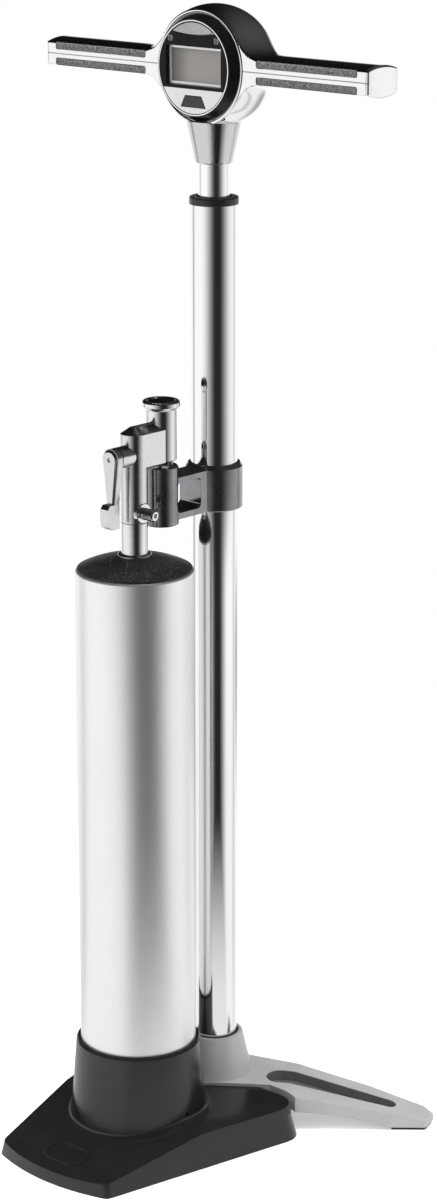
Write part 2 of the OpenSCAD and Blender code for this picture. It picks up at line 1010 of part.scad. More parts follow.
module segment_plan(inset) {
    intersection() {
        circle(r = face_r - 1.2 - inset);
        translate([-face_r, -face_r])
            square([2 * face_r, face_r + segment_top - inset]);
    }
}

module power_plan(inset) {
    difference() {
        circle(r = power_top - inset);
        translate([-face_r, -face_r])
            square([2 * face_r, face_r]);
        difference() {
            translate([-face_r, -face_r])
                square([2 * face_r, 2 * face_r]);
            translate([0, power_low + power_bend + inset])
                circle(r = power_bend, $fn = 256);
        }
    }
}

module mode_plan(inset) {
    polygon([
        [-10.3 + inset, mode_low + inset],
        [10.3 - inset, mode_low + inset],
        [6.7 - inset / 2, mode_top - inset],
        [-6.7 + inset / 2, mode_top - inset]
    ]);
}

module face_screws_at() {
    for (x = [-19.4, 19.4])
        translate([x, 17.6, 0])
            children();
}

module gauge_face() color([0.09, 0.09, 0.1])
    at_gauge(face_proud - face_t)
        difference() {
            cylinder(r = face_r - 0.8, h = face_t);
            translate([0, 0, -1])
                linear_extrude(height = face_t + 2) {
                    lcd_plan(0);
                    power_plan(-free_gap);
                    mode_plan(-free_gap);
                }
            translate([0, 0, face_t - segment_t])
                linear_extrude(height = face_t)
                    segment_plan(-seat_fit);
            face_screws_at()
                translate([0, 0, -1])
                    cylinder(r = screw_r, h = face_t + 2);
            face_screws_at()
                translate([0, 0, face_t - 1])
                    cylinder(r = screw_head_r - 0.6, h = face_t);
        }

module face_rim() color([0.9, 0.9, 0.91])
    at_gauge(face_proud - face_t)
        tube(face_r - seat_fit, face_r - 0.8 + seat_fit, face_t + 0.3);

module face_segment() color([0.75, 0.74, 0.75])
    at_gauge(face_proud - segment_t)
        linear_extrude(height = segment_t + 0.2)
            difference() {
                segment_plan(0);
                mode_plan(-free_gap);
            }

module lcd_frame() color([0.85, 0.85, 0.85])
    at_gauge(face_proud - face_t)
        linear_extrude(height = face_t - lcd_recess)
            difference() {
                lcd_plan(seat_fit);
                lcd_plan(1.7);
            }

module lcd_panel() color([0.58, 0.58, 0.55])
    at_gauge(face_proud - face_t)
        linear_extrude(height = face_t - lcd_recess - 0.5)
            lcd_plan(1.7 + seat_fit);

module power_button() color([0.55, 0.55, 0.56])
    at_gauge(face_proud - face_t - 0.5)
        linear_extrude(height = face_t + 0.9)
            power_plan(0);

module mode_button() color([0.1, 0.1, 0.11])
    at_gauge(face_proud - face_t - 0.5)
        linear_extrude(height = face_t + 0.9)
            mode_plan(0);

// Contacts on the circuit board that the buttons reach when pressed home
module button_contacts() color([0.5, 0.5, 0.5])
    at_gauge(board_out + board_t)
        for (y = [(power_top + power_low) / 2, (mode_top + mode_low) / 2])
            translate([0, y, 0])
                cylinder(r1 = 2.4, r2 = 1.6, h = contact_h);

module face_screws() color([0.85, 0.85, 0.86])
    at_gauge(face_proud - face_t)
        face_screws_at() {
            translate([0, 0, -screw_under])
                cylinder(r = screw_r - seat_fit, h = face_t + screw_under - 0.6);
            difference() {
                translate([0, 0, face_t - 1])
                    cylinder(r = screw_head_r - 0.6 - seat_fit, h = 1.2);
                translate([-0.35, -3, face_t - 0.3])
                    cube([0.7, 6, 1]);
                translate([-3, -0.35, face_t - 0.3])
                    cube([6, 0.7, 1]);
            }
        }

module circuit_board() color([0.1, 0.35, 0.2])
    at_gauge(board_out)
        difference() {
            cylinder(r = ledge_r - seat_fit, h = board_t);
            face_screws_at()
                cylinder(r = screw_r + 0.3, h = 10, center = true);
        }

// ---- Clamp --------------------------------------------------------------

module clamp_bracket() color([0.12, 0.12, 0.13])
    difference() {
        union() {
            translate([0, 0, clamp_z])
                rotate_extrude()
                    polygon([
                        [0, 0.6],
                        [clamp_r - 0.6, 0],
                        [clamp_r, 0.6],
                        [clamp_r, clamp_h - 2.2],
                        [clamp_r - 1.6, clamp_h],
                        [0, clamp_h]
                    ]);
            translate([-arm_w / 2, cup_y, clamp_z + 0.4])
                cube([arm_w, -cup_y, clamp_h - 2.3]);
            translate([0, cup_y, clamp_z - 2.8]) {
                cylinder(r1 = boss_r - 0.6, r2 = boss_r, h = 0.6);
                translate([0, 0, 0.6])
                    cylinder(r = boss_r, h = boss_top - clamp_z + 1.2);
                translate([0, 0, boss_top - clamp_z + 1.8])
                    cylinder(r1 = boss_r, r2 = boss_r - 1, h = 1);
            }
        }
        translate([0, 0, clamp_z - 1])
            cylinder(r = barrel_r + seat_fit, h = clamp_h + 2);
        window();
        clamp_screws_at()
            cylinder(r = clamp_screw_r, h = 30, center = true);
    }

// The window right through the arm, from side to side
module window() {
    back = -clamp_r - 4;
    front = cup_y + 5;
    translate([0, 0, clamp_z + (clamp_h - window_h) / 2 - 0.4])
        for (y = [front + 3, back - 3], z = [3, window_h - 3])
            translate([0, y, z])
                rotate([0, 90, 0])
                    cylinder(r = 3, h = THROUGH, center = true, $fn = 48);
    translate([-arm_w, front + 3, clamp_z + (clamp_h - window_h) / 2 - 0.4])
        cube([2 * arm_w, back - front - 6, window_h]);
    translate([-arm_w, front, clamp_z + (clamp_h - window_h) / 2 + 2.6])
        cube([2 * arm_w, back - front, window_h - 6]);
}

module clamp_screws_at() {
    for (x = [-4.6, 4.6])
        translate([x, cup_y + 3.4, boss_top])
            children();
}

module clamp_screws() color([0.8, 0.8, 0.82])
    clamp_screws_at()
        translate([0, 0, -8])
            cylinder(r = clamp_screw_r - seat_fit, h = block_z - boss_top + 8);

// ---- Tank ---------------------------------------------------------------

module at_tank(z) {
    translate([0, tank_y, z])
        children();
}

module tank_shell() color([0.85, 0.85, 0.86])
    at_tank(tank_seat)
        rotate_extrude()
            polygon([
                [tank_r - tank_wall, 0],
                [tank_r, 0],
                [tank_r, tank_l - 0.8],
                [tank_r - 0.8, tank_l],
                [tank_r - tank_wall, tank_l]
            ]);

module tank_bottom() color([0.6, 0.6, 0.62])
    difference() {
        at_tank(tank_seat)
            cylinder(r = tank_r - tank_wall - seat_fit, h = 4);
        translate([0, air_y + 1, 0])
            cylinder(r = air_riser_r, h = tank_seat + 10);
    }

module tank_lid() color([0.1, 0.1, 0.11])
    difference() {
        at_tank(tank_top - lid_skirt)
            rotate_extrude()
                intersection() {
                    union() {
                        square([tank_r - tank_wall - seat_fit, lid_skirt]);
                        translate([0, lid_skirt])
                            square([tank_r - 1.2, lid_edge_h]);
                        translate([0, lid_skirt + lid_edge_h + lid_rise - lid_bend])
                            intersection() {
                                circle(r = lid_bend, $fn = 256);
                                translate([0, lid_bend - lid_rise - EPS])
                                    square([tank_r - 1.2, THROUGH]);
                            }
                    }
                    square([tank_r, lid_skirt + lid_edge_h + lid_rise - 0.4]);
                }
        at_tank(0)
            groove(THROUGH, tank_r - tank_wall - seal_h + 1, tank_top - lid_skirt + 3, seal_h);
        at_tank(tank_top - lid_skirt - 1)
            cylinder(r = tank_r - tank_wall - 5, h = lid_skirt - 2);
        at_tank(tank_top - lid_skirt)
            cylinder(r = stem_r + seat_fit, h = 3 * lid_skirt);
        at_tank(lid_top - 1.5)
            cylinder(r = flange_r + seat_fit, h = 10);
    }

module lid_seal() color([0.07, 0.07, 0.07])
    at_tank(0)
        groove(tank_r - tank_wall - seat_fit, tank_r - tank_wall - seal_h + 1 + seat_fit,
            tank_top - lid_skirt + 3 + seat_fit, seal_h - 2 * seat_fit);

// ---- Valve block --------------------------------------------------------

module valve_stem() color([0.88, 0.88, 0.89])
    at_tank(stem_low)
        tube(stem_r, air_bore_r, body_z - stem_low);

module stem_flange() color([0.88, 0.88, 0.89])
    at_tank(lid_top - 1.5)
        difference() {
            rotate_extrude()
                polygon([
                    [stem_r + seat_fit, 0],
                    [flange_r, 0],
                    [flange_r, 1.7],
                    [flange_r - 0.5, 2.2],
                    [stem_r + seat_fit, 2.2]
                ]);
        }

module valve_body() color([0.9, 0.9, 0.91])
    difference() {
        union() {
            at_tank(body_z + 0.3)
                cylinder(r = stem_r, h = body_h - body_chamfer - 0.3);
            at_tank(body_z)
                cylinder(r1 = stem_r - 0.3, r2 = stem_r, h = 0.3);
            at_tank(body_top - body_chamfer)
                cylinder(r1 = stem_r, r2 = body_flat, h = body_chamfer);
            translate([0, cup_y, 0])
                rotate([90, 0, 0])
                    linear_extrude(height = cup_gap)
                        polygon([
                            [-stem_r, block_z],
                            [stem_r, block_z],
                            [stem_r, body_top - body_chamfer],
                            [body_flat, body_top],
                            [-body_flat, body_top],
                            [-stem_r, body_top - body_chamfer]
                        ]);
            at_tank(lever_z)
                rotate([90, 0, 0])
                    cylinder(r = lever_r + 0.1, h = lever_out);
        }
        // Air bores: up the column, through the spool and across to the cup
        at_tank(body_z - 1)
            cylinder(r = air_bore_r, h = lever_z - body_z + 1);
        at_tank(lever_z)
            rotate([90, 0, 0])
                translate([0, 0, -spool_in])
                    cylinder(r = spool_d / 2 + run_fit, h = spool_in + lever_out + 1);
        at_tank(lever_z)
            rotate([-90, 0, 0])
                cylinder(r = air_bore_r, h = cup_gap);
        translate([0, cup_y, block_z - 1])
            cylinder(r = cup_r + seat_fit, h = block_h + 2);
        at_nipple()
            cylinder(r = nipple_flange_r + seat_fit, h = stem_r);
        at_nipple()
            translate([0, 0, -nipple_flange_x])
                cylinder(r = nipple_d / 2 - 0.6, h = stem_r);
        at_tank(body_top - 5)
            cylinder(r = screw_r + seat_fit, h = 6);
    }

module at_nipple() {
    translate([nipple_flange_x, tank_y, nipple_z])
        rotate([0, 90, 0])
            children();
}

module top_plug() color([0.3, 0.3, 0.31])
    at_tank(body_top - 5)
        difference() {
            cylinder(r = screw_r, h = 4.4);
            translate([0, 0, 3])
                cylinder(r = 0.8, h = 3, $fn = 6);
        }

module hose_cup() color([0.9, 0.9, 0.91])
    difference() {
        translate([0, cup_y, 0])
            rotate_extrude()
                polygon([
                    [0, block_z],
                    [cup_r - 0.6, block_z],
                    [cup_r, block_z + 0.6],
                    [cup_r, cup_top - 5.8],
                    [cup_rim_r - 0.7, cup_top - 4.6],
                    [cup_rim_r, cup_top - 3.6],
                    [cup_rim_r, cup_top - 1.2],
                    [cup_rim_r - 0.5, cup_top - 0.4],
                    [cup_rim_r - 1.4, cup_top],
                    [cup_bore_d / 2 + 0.9, cup_top],
                    [cup_bore_d / 2, cup_top - 0.9],
                    [cup_bore_d / 2, cup_top - cup_depth],
                    [0, cup_top - cup_depth]
                ]);
        translate([0, cup_y, cup_top - cup_depth - 3.5])
            cylinder(r = air_bore_r, h = 8);
        translate([0, cup_y, lever_z])
            rotate([90, 0, 0])
                cylinder(r = air_bore_r, h = cup_gap);
    }

module nipple_body() color([0.9, 0.9, 0.91])
    difference() {
        at_nipple() {
            rotate_extrude()
                polygon([
                    [0, 0],
                    [nipple_flange_r, 0],
                    [nipple_flange_r, nipple_flange_t - 0.5],
                    [nipple_flange_r - 0.5, nipple_flange_t],
                    [nipple_d / 2, nipple_flange_t],
                    [nipple_d / 2, nipple_flange_t + nipple_l - 0.8],
                    [nipple_d / 2 - 0.8, nipple_flange_t + nipple_l],
                    [0, nipple_flange_t + nipple_l]
                ]);
        }
        at_nipple() {
            translate([0, 0, -1])
                cylinder(r = core_r + run_fit, h = 1 + core_l);
            translate([0, 0, 1])
                cylinder(r = core_pin_r + free_gap, h = nipple_l + 10);
        }
    }

// The pin in the nipple's middle is pushed in to let air past its collar
module core_pin() color([0.75, 0.62, 0.3])
    at_nipple() {
        translate([0, 0, core_l - 2.5])
            difference() {
                cylinder(r = core_r, h = 2.5 - seat_fit);
                for (turn = [0, 90])
                    rotate([0, 0, turn])
                        translate([core_r - 0.6, -0.7, -1])
                            cube([2, 1.4, 5]);
            }
        translate([0, 0, core_l - 1])
            cylinder(r = core_pin_r, h = nipple_flange_t + nipple_l - core_l + 1 - 0.4);
    }

// ---- Valve lever --------------------------------------------------------

module at_lever(out) {
    translate([0, tank_y - out, lever_z])
        rotate([90, 0, 0])
            children();
}

module valve_spool() color([0.8, 0.8, 0.82])
    difference() {
        at_lever(-spool_in + 0.3)
            cylinder(r = spool_d / 2, h = spool_in - 0.3 + lever_out + free_gap + 1);
        at_lever(-spool_in - 1)
            cylinder(r = air_bore_r - 0.4, h = spool_in + 4);
        at_tank(lever_z - spool_d)
            cylinder(r = air_bore_r - 0.4, h = spool_d);
        at_lever(lever_out - 3)
            cylinder(r = screw_r, h = 10);
    }

module lever_plan(r, tip, gap = 0) {
    hull() {
        circle(r = r + gap, $fn = 64);
        translate([0, -lever_l + knob_h / 2 - 1])
            square([2 * tip + 2 * gap, 1 + 2 * gap], center = true);
    }
}

module lever_plate() color([0.85, 0.85, 0.86])
    difference() {
        at_lever(lever_out + free_gap)
            linear_extrude(height = lever_t)
                lever_plan(lever_r, lever_tip);
        at_lever(lever_out)
            cylinder(r = spool_d / 2 + seat_fit, h = free_gap + 1);
        at_lever(lever_out)
            cylinder(r = screw_r + seat_fit, h = 10);
    }

// The raised panel on the lever's front
module lever_face() color([0.9, 0.9, 0.91])
    difference() {
        at_lever(lever_out + free_gap + lever_t)
            hull() {
                linear_extrude(height = EPS)
                    lever_plan(lever_r - 0.5, lever_tip - 0.2);
                translate([0, 0, lever_face_t - EPS])
                    linear_extrude(height = EPS)
                        lever_plan(lever_r - 2, lever_tip - 1.1);
            }
        at_lever(lever_out)
            cylinder(r = screw_r + seat_fit, h = 10);
    }

// The knob is slotted over the lever's tip
module lever_knob() color([0.88, 0.88, 0.89])
    difference() {
        translate([-knob_w / 2, tank_y - lever_out - free_gap, lever_z - lever_l + knob_h / 2])
            rotate([0, 90, 0])
                rotate([0, 0, 180])
                    linear_extrude(height = knob_w)
                        polygon([
                            [0, 0],
                            [0, 8.6],
                            [-2.4, 10.4],
                            [-knob_h / 2, 11],
                            [-knob_h + 2.4, 10],
                            [-knob_h, 6.4],
                            [-knob_h, 0]
                        ]);
        at_lever(lever_out)
            linear_extrude(height = free_gap + lever_t + lever_face_t + seat_fit)
                lever_plan(lever_r, lever_tip, seat_fit);
    }

module lever_screw() color([0.75, 0.75, 0.77])
    at_lever(lever_out - 3 + seat_fit)
        cylinder(r = screw_r - seat_fit, h = lever_t + 4);

// ---- Nodes --------------------------------------------------------------

base_casting();
leg_pad_left();
leg_pad_right();
tank_foot();
foot_screws();
collar_screws();
barrel_tube();
foot_plug();
plug_seal();
check_poppet();
check_spring();
barrel_cap();
rod_bush();
rod_wiper();
piston_head();
piston_seal();
piston_guide();
piston_rod();
neck_cone();
shell_upper();
shell_lower();
shell_screws();
grip_pad(1, 1, 1);  // pad_front_upper_right
grip_pad(1, 0, 1);  // pad_front_upper_left
grip_pad(1, 1, 0);  // pad_front_lower_right
grip_pad(1, 0, 0);  // pad_front_lower_left
grip_pad(0, 1, 1);  // pad_back_upper_right
grip_pad(0, 0, 1);  // pad_back_upper_left
grip_pad(0, 1, 0);  // pad_back_lower_right
grip_pad(0, 0, 0);  // pad_back_lower_left
gauge_ring();
gauge_housing();
gauge_face();
face_rim();
face_segment();
lcd_frame();
lcd_panel();
face_screws();
circuit_board();
power_button();
mode_button();
button_contacts();
clamp_bracket();
clamp_screws();
tank_shell();
tank_bottom();
tank_lid();
lid_seal();
valve_stem();
stem_flange();
valve_body();
top_plug();
hose_cup();
nipple_body();
core_pin();
valve_spool();
lever_plate();
lever_face();
lever_knob();
lever_screw();
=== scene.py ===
import json
import math
import bmesh
import bpy
import numpy as np
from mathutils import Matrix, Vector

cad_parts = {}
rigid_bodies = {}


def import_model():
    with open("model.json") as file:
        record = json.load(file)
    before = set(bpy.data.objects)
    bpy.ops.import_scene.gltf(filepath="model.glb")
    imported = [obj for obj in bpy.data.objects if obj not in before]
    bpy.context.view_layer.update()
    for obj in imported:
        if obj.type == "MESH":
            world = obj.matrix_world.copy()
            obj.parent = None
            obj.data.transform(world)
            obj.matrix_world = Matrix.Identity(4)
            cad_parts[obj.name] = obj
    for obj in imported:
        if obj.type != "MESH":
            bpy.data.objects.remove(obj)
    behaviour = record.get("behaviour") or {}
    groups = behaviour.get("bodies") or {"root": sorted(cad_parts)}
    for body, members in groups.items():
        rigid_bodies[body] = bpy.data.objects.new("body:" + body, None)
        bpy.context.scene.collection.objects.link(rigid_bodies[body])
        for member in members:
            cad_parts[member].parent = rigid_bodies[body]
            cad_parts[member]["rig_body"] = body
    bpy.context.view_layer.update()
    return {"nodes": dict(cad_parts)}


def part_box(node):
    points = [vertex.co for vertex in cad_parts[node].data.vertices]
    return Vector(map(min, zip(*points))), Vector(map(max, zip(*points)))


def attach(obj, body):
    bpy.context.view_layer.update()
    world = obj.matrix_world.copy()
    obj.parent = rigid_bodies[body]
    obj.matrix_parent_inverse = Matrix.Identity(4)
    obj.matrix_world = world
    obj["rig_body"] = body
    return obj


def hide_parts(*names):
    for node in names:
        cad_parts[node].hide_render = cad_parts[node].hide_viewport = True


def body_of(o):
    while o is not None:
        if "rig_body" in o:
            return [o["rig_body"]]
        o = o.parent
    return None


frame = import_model()
scene = bpy.context.scene
scene.view_settings.view_transform = 'Standard'

# ---- Camera, floor and studio ----
# A long lens looks slightly down on the pump from its front right, so the handle,
# the tank and one leg all show. The room is a white sweep with a dark opening.
camera_turn, camera_dip = math.radians(42.41), math.radians(15.94)
opening_turn = camera_turn + math.radians(17 - 90)
camera_data = bpy.data.cameras.new("camera")
camera_data.lens = 91.58
camera_data.sensor_width = 36.0
camera_data.clip_start = 0.05
camera = bpy.data.objects.new("camera", camera_data)
camera.location = (1.2980, -1.41674, 0.90555)
camera.rotation_euler = (math.pi / 2 - camera_dip, 0, camera_turn)
scene.collection.objects.link(camera)
scene.camera = camera


def node_chain(tree, kind, **values):
    """One shader node: a name in_X sets or feeds the input X, and any other name sets a property."""
    node = tree.nodes.new(kind)
    for name, value in values.items():
        if name.startswith("in_"):
            key = name[3:]
            socket = node.inputs[int(key) if key.isdigit() else key]
            if isinstance(value, bpy.types.NodeSocket):
                tree.links.new(value, socket)
            else:
                socket.default_value = value
        else:
            setattr(node, name, value)
    return node


def maths(tree, operation, *values):
    """The output of one maths node on sockets or numbers."""
    inputs = {"in_%d" % number: value for number, value in enumerate(values)}
    return node_chain(tree, "ShaderNodeMath", operation=operation, **inputs).outputs[0]


def smooth_range(tree, value, start, end, first, last):
    """A smooth step from first, where the value is at the start, to last, where it is at the end."""
    return node_chain(tree, "ShaderNodeMapRange", in_0=value, in_1=start, in_2=end, in_3=first, in_4=last,
                      interpolation_type='SMOOTHSTEP').outputs[0]


def between(tree, share, first, last):
    """The value that lies the share of the way from first to last."""
    return node_chain(tree, "ShaderNodeMix", data_type='FLOAT', in_0=share, in_2=first, in_3=last).outputs[0]


def dark_opening(tree, x, y, white_from):
    """The room's brightness in the direction x, y: a smooth step from the dark opening on the camera's side
    to the white walls. Either end of the back wall dips to grey, which lines a polished tube's edges."""
    dark, white, dark_half_turn, gap_half_turn = 0.022, 1.08, math.radians(9), math.radians(13)
    cosine, sine = math.cos(opening_turn), math.sin(opening_turn)
    along = maths(tree, 'ADD', maths(tree, 'MULTIPLY', x, cosine), maths(tree, 'MULTIPLY', y, sine))
    across = maths(tree, 'SUBTRACT', maths(tree, 'MULTIPLY', y, cosine), maths(tree, 'MULTIPLY', x, sine))
    turn = maths(tree, 'ARCTAN2', across, along)
    wall = smooth_range(tree, maths(tree, 'ABSOLUTE', turn), dark_half_turn, white_from, dark, white)
    for gap_turn, level in ((-132.6, 0.45), (98.6, 0.66)):
        off = maths(tree, 'ABSOLUTE', maths(tree, 'SUBTRACT', turn, math.radians(gap_turn)))
        wall = maths(tree, 'MULTIPLY', wall, smooth_range(tree, off, 0.0, gap_half_turn, level, 1.0))
    return wall


def studio_world():
    """White to the eye and a soft grey light for matt surfaces. Polished ones see the walls with their dark
    opening, which give way upwards to a dim ceiling, a little lighter to the right."""
    world = bpy.data.worlds.new("studio")
    world.use_nodes = True
    scene.world = world
    tree = world.node_tree
    tree.nodes.clear()
    coordinates = tree.nodes.new("ShaderNodeTexCoord")
    x, y, z = node_chain(tree, "ShaderNodeSeparateXYZ", in_0=coordinates.outputs["Generated"]).outputs
    walls = dark_opening(tree, x, y, math.radians(80))
    rightward = maths(tree, 'ADD', maths(tree, 'MULTIPLY', x, 0.74), maths(tree, 'MULTIPLY', y, 0.67))
    ceiling = smooth_range(tree, rightward, -0.15, 0.85, 0.005, 0.075)
    room = between(tree, smooth_range(tree, z, 0.0, 0.20, 0.0, 1.0), walls, ceiling)
    path = tree.nodes.new("ShaderNodeLightPath")
    straight = maths(tree, 'MAXIMUM', path.outputs["Is Camera Ray"], path.outputs["Is Transmission Ray"])
    level = between(tree, straight, between(tree, path.outputs["Is Glossy Ray"], 0.62, room), 1.0)
    light = node_chain(tree, "ShaderNodeBackground", in_0=(1, 1, 1, 1), in_1=level)
    out = tree.nodes.new("ShaderNodeOutputWorld")
    tree.links.new(light.outputs[0], out.inputs[0])


studio_world()


def studio_floor():
    """A flat pale floor. Seen straight it is lifted to white and keeps the pump's shadow. Polished metal sees
    it bright close by, then as bright as the walls, opening and all, with a grey patch behind the pump."""
    side, patch_place = 6.0, (-0.156, 1.06, 0)
    mesh = bpy.data.meshes.new("floor")
    corners = [(-side, -side, 0), (side, -side, 0), (side, side, 0), (-side, side, 0)]
    mesh.from_pydata(corners, [], [(0, 1, 2, 3)])
    floor = bpy.data.objects.new("floor", mesh)
    scene.collection.objects.link(floor)
    material = bpy.data.materials.new("floor_paint")
    material.use_nodes = True
    tree = material.node_tree
    tree.nodes.clear()
    place = tree.nodes.new("ShaderNodeTexCoord").outputs["Object"]
    x, y = node_chain(tree, "ShaderNodeSeparateXYZ", in_0=place).outputs[:2]
    reach = node_chain(tree, "ShaderNodeVectorMath", operation='LENGTH', in_0=place).outputs["Value"]
    path = tree.nodes.new("ShaderNodeLightPath")
    paint = node_chain(tree, "ShaderNodeBsdfDiffuse", in_0=(0.86, 0.86, 0.86, 1))
    lift = node_chain(tree, "ShaderNodeEmission", in_0=(1, 1, 1, 1),
                      in_1=maths(tree, 'MULTIPLY', path.outputs["Is Camera Ray"], 0.34))
    lit = node_chain(tree, "ShaderNodeAddShader", in_0=paint.outputs[0], in_1=lift.outputs[0])
    white = node_chain(tree, "ShaderNodeEmission", in_0=(1, 1, 1, 1), in_1=1.0)
    distant = smooth_range(tree, reach, 0.30, 0.75, 0.0, 1.0)
    far = maths(tree, 'MULTIPLY', distant, path.outputs["Is Camera Ray"])
    seen = node_chain(tree, "ShaderNodeMixShader", in_0=far, in_1=lit.outputs[0], in_2=white.outputs[0])
    edge = smooth_range(tree, reach, 1.30, 1.75, math.radians(54), math.radians(84))
    close_by = smooth_range(tree, reach, 0.16, 0.64, 0.94, 0.0)
    room = maths(tree, 'MAXIMUM', dark_opening(tree, x, y, edge), close_by)
    room = maths(tree, 'MULTIPLY', room, smooth_range(tree, reach, 0.55, 1.2, 0.93, 1.0))
    from_patch = node_chain(tree, "ShaderNodeVectorMath", operation='DISTANCE', in_0=place, in_1=patch_place)
    patch = smooth_range(tree, from_patch.outputs["Value"], 0.05, 0.55, 0.42, 1.0)
    room = maths(tree, 'MULTIPLY', room, patch)
    mirrored = node_chain(tree, "ShaderNodeEmission", in_0=(1, 1, 1, 1), in_1=room)
    both = node_chain(tree, "ShaderNodeMixShader", in_0=path.outputs["Is Glossy Ray"],
                      in_1=seen.outputs[0], in_2=mirrored.outputs[0])
    out = tree.nodes.new("ShaderNodeOutputMaterial")
    tree.links.new(both.outputs[0], out.inputs[0])
    mesh.materials.append(material)


studio_floor()


def lamp(name, place, aim, size, power):
    """A soft square lamp at a place, turned to face a point, and never mirrored in the metal."""
    data = bpy.data.lights.new(name, 'AREA')
    data.shape = 'SQUARE'
    data.size = size
    data.energy = power
    light = bpy.data.objects.new(name, data)
    light.location = place
    direction = np.array(aim) - np.array(place)
    flat = math.hypot(direction[0], direction[1])
    light.rotation_euler = (math.pi / 2 + math.atan2(direction[2], flat), 0,
                            math.atan2(direction[1], direction[0]) - math.pi / 2)
    scene.collection.objects.link(light)
    light.visible_glossy = False


lamp("key_lamp", (-0.9, -1.7, 2.0), (0, 0, 0.3), 1.2, 26)
lamp("side_lamp", (2.0, 0.3, 1.4), (0, 0, 0.3), 1.2, 7)
lamp("top_lamp", (0.1, -0.1, 2.4), (0, 0, 0), 1.0, 42)
lamp("back_lamp", (-0.6, 1.8, 1.8), (0, 0, 0.3), 1.2, 12)


# ---- Handle: two plated shells ----
# The handle is two cast, polished and chrome-plated shells that meet on a level
# parting line. A ball in the middle holds the gauge, and the arms flare out of it.
MM = 0.001
ball_middle = np.array([0.0, 1.3, 703.2]) * MM
ball_radius, front_depth = 38.5, 14.3
arm_half_height, arm_bend = 9.8, 40.625
ball_to_arm, ball_to_front, arm_edge = 15.0, 0.7, 1.6
groove_from, groove_to, groove_depth = 133.55, 134.15, 0.45
arm_end, end_back, end_drop = 135.5, np.array([1.25, 0.7, 0.35, 0.1, 0.0]), [0, 0.15, 0.45, 0.9, 1.5]
parting_chamfer, parting_turn = 0.35, 1.4
pad_from, pad_to, pad_low, pad_wrap = 46.5, 127.0, 2.6, 13.6
pad_top, pad_corner, pad_gap, bed_depth = 7.5, 1.7, 0.18, 1.1


def smaller(a, b, blend):
    """The smaller of two lengths, with the corner between them rounded over a blend length."""
    mix = np.maximum(blend - np.abs(a - b), 0) / blend
    return np.minimum(a, b) - mix * mix * blend / 4


def arm_reach(angle):
    """Distance from the arm's axis to its skin: flat front and back, shallow arcs above and below."""
    up, out = np.abs(np.sin(angle)), np.maximum(np.abs(np.cos(angle)), 1e-6)
    centre = arm_half_height - arm_bend
    arc = up * centre + np.sqrt((up * centre) ** 2 - centre ** 2 + arm_bend ** 2)
    return smaller(front_depth / out, arc, arm_edge)


def handle_reach(x, angle):
    """Ball and arms merged into one skin: the radius at which the blended distance to both is nil."""
    arm = arm_reach(angle)
    shape = np.broadcast(x, angle).shape
    low, high = np.full(shape, 4.0), np.full(shape, 44.0)
    for _ in range(34):
        middle = (low + high) / 2
        inside = smaller(np.sqrt(x ** 2 + middle ** 2) - ball_radius, middle - arm, ball_to_arm) < 0
        low, high = np.where(inside, middle, low), np.where(inside, high, middle)
    front = front_depth / np.maximum(np.cos(angle), 1e-6)
    return np.where(np.cos(angle) > 0, smaller(middle, front, ball_to_front), middle)


def skin(name, points, smooth, capped=False, flip=False):
    """A mesh from rings of points: quads between neighbours all the way round, fans over both ends if capped,
    and edges that turn more than the smooth angle left sharp."""
    rows, columns = points.shape[:2]
    index = np.arange(rows * columns).reshape(rows, columns)
    index = np.hstack([index, index[:, :1]])
    quads = np.stack([index[:-1, :-1], index[1:, :-1], index[1:, 1:], index[:-1, 1:]], -1).reshape(-1, 4)
    vertices = points.reshape(-1, 3)
    fans = []
    if capped:
        hubs = np.array([points[0].mean(0), points[-1].mean(0)])
        vertices = np.vstack([vertices, hubs])
        for edge, hub, turn in ((index[0], rows * columns, 1), (index[-1], rows * columns + 1, -1)):
            pair = np.stack([edge[:-1], edge[1:]], -1)[:, ::turn]
            fans.append(np.column_stack([pair, np.full(len(pair), hub)]))
    faces = quads[:, ::-1].tolist() if flip else quads.tolist()
    for fan in fans:
        faces += (fan[:, ::-1] if flip else fan).tolist()
    mesh = bpy.data.meshes.new(name)
    mesh.from_pydata(vertices.tolist(), [], faces)
    mesh.polygons.foreach_set("use_smooth", np.ones(len(mesh.polygons), bool))
    mesh.set_sharp_from_angle(angle=math.radians(smooth))
    piece = bpy.data.objects.new(name, mesh)
    scene.collection.objects.link(piece)
    return piece


def shell_stations():
    """Distances along half the handle and their mirror: close together where the ball runs into the arm, at
    both ends of a bed, at the groove and round the arm's end."""
    half = np.concatenate([np.linspace(0, 26, 22), np.linspace(27, pad_from - 0.3, 40), [pad_from - 0.05],
                           pad_from + np.linspace(0.1, 2.0, 9), np.linspace(52, 122, 12),
                           pad_to - np.linspace(2.0, 0.1, 9), [pad_to + 0.05, 130, groove_from - 0.1],
                           [groove_from + 0.05, groove_to - 0.05], arm_end - end_back])
    return np.concatenate([-half[:0:-1], half])


def shell_angles():
    """Angles round half the section, crowded at the beds' two long edges, and those edges' own angles."""
    first = math.degrees(math.atan2(pad_low, front_depth))
    last = math.degrees(math.atan2(pad_top, pad_wrap))
    marks = [first - 0.6, *np.linspace(first, first + 7, 9), *np.linspace(last - 7, last, 9), last + 0.6]
    marks += [180 - mark for mark in marks]
    degrees = np.unique(np.concatenate([np.linspace(0, 180, 73), [parting_turn, 180 - parting_turn], marks]))
    return np.radians(degrees), math.radians(first), math.radians(last)


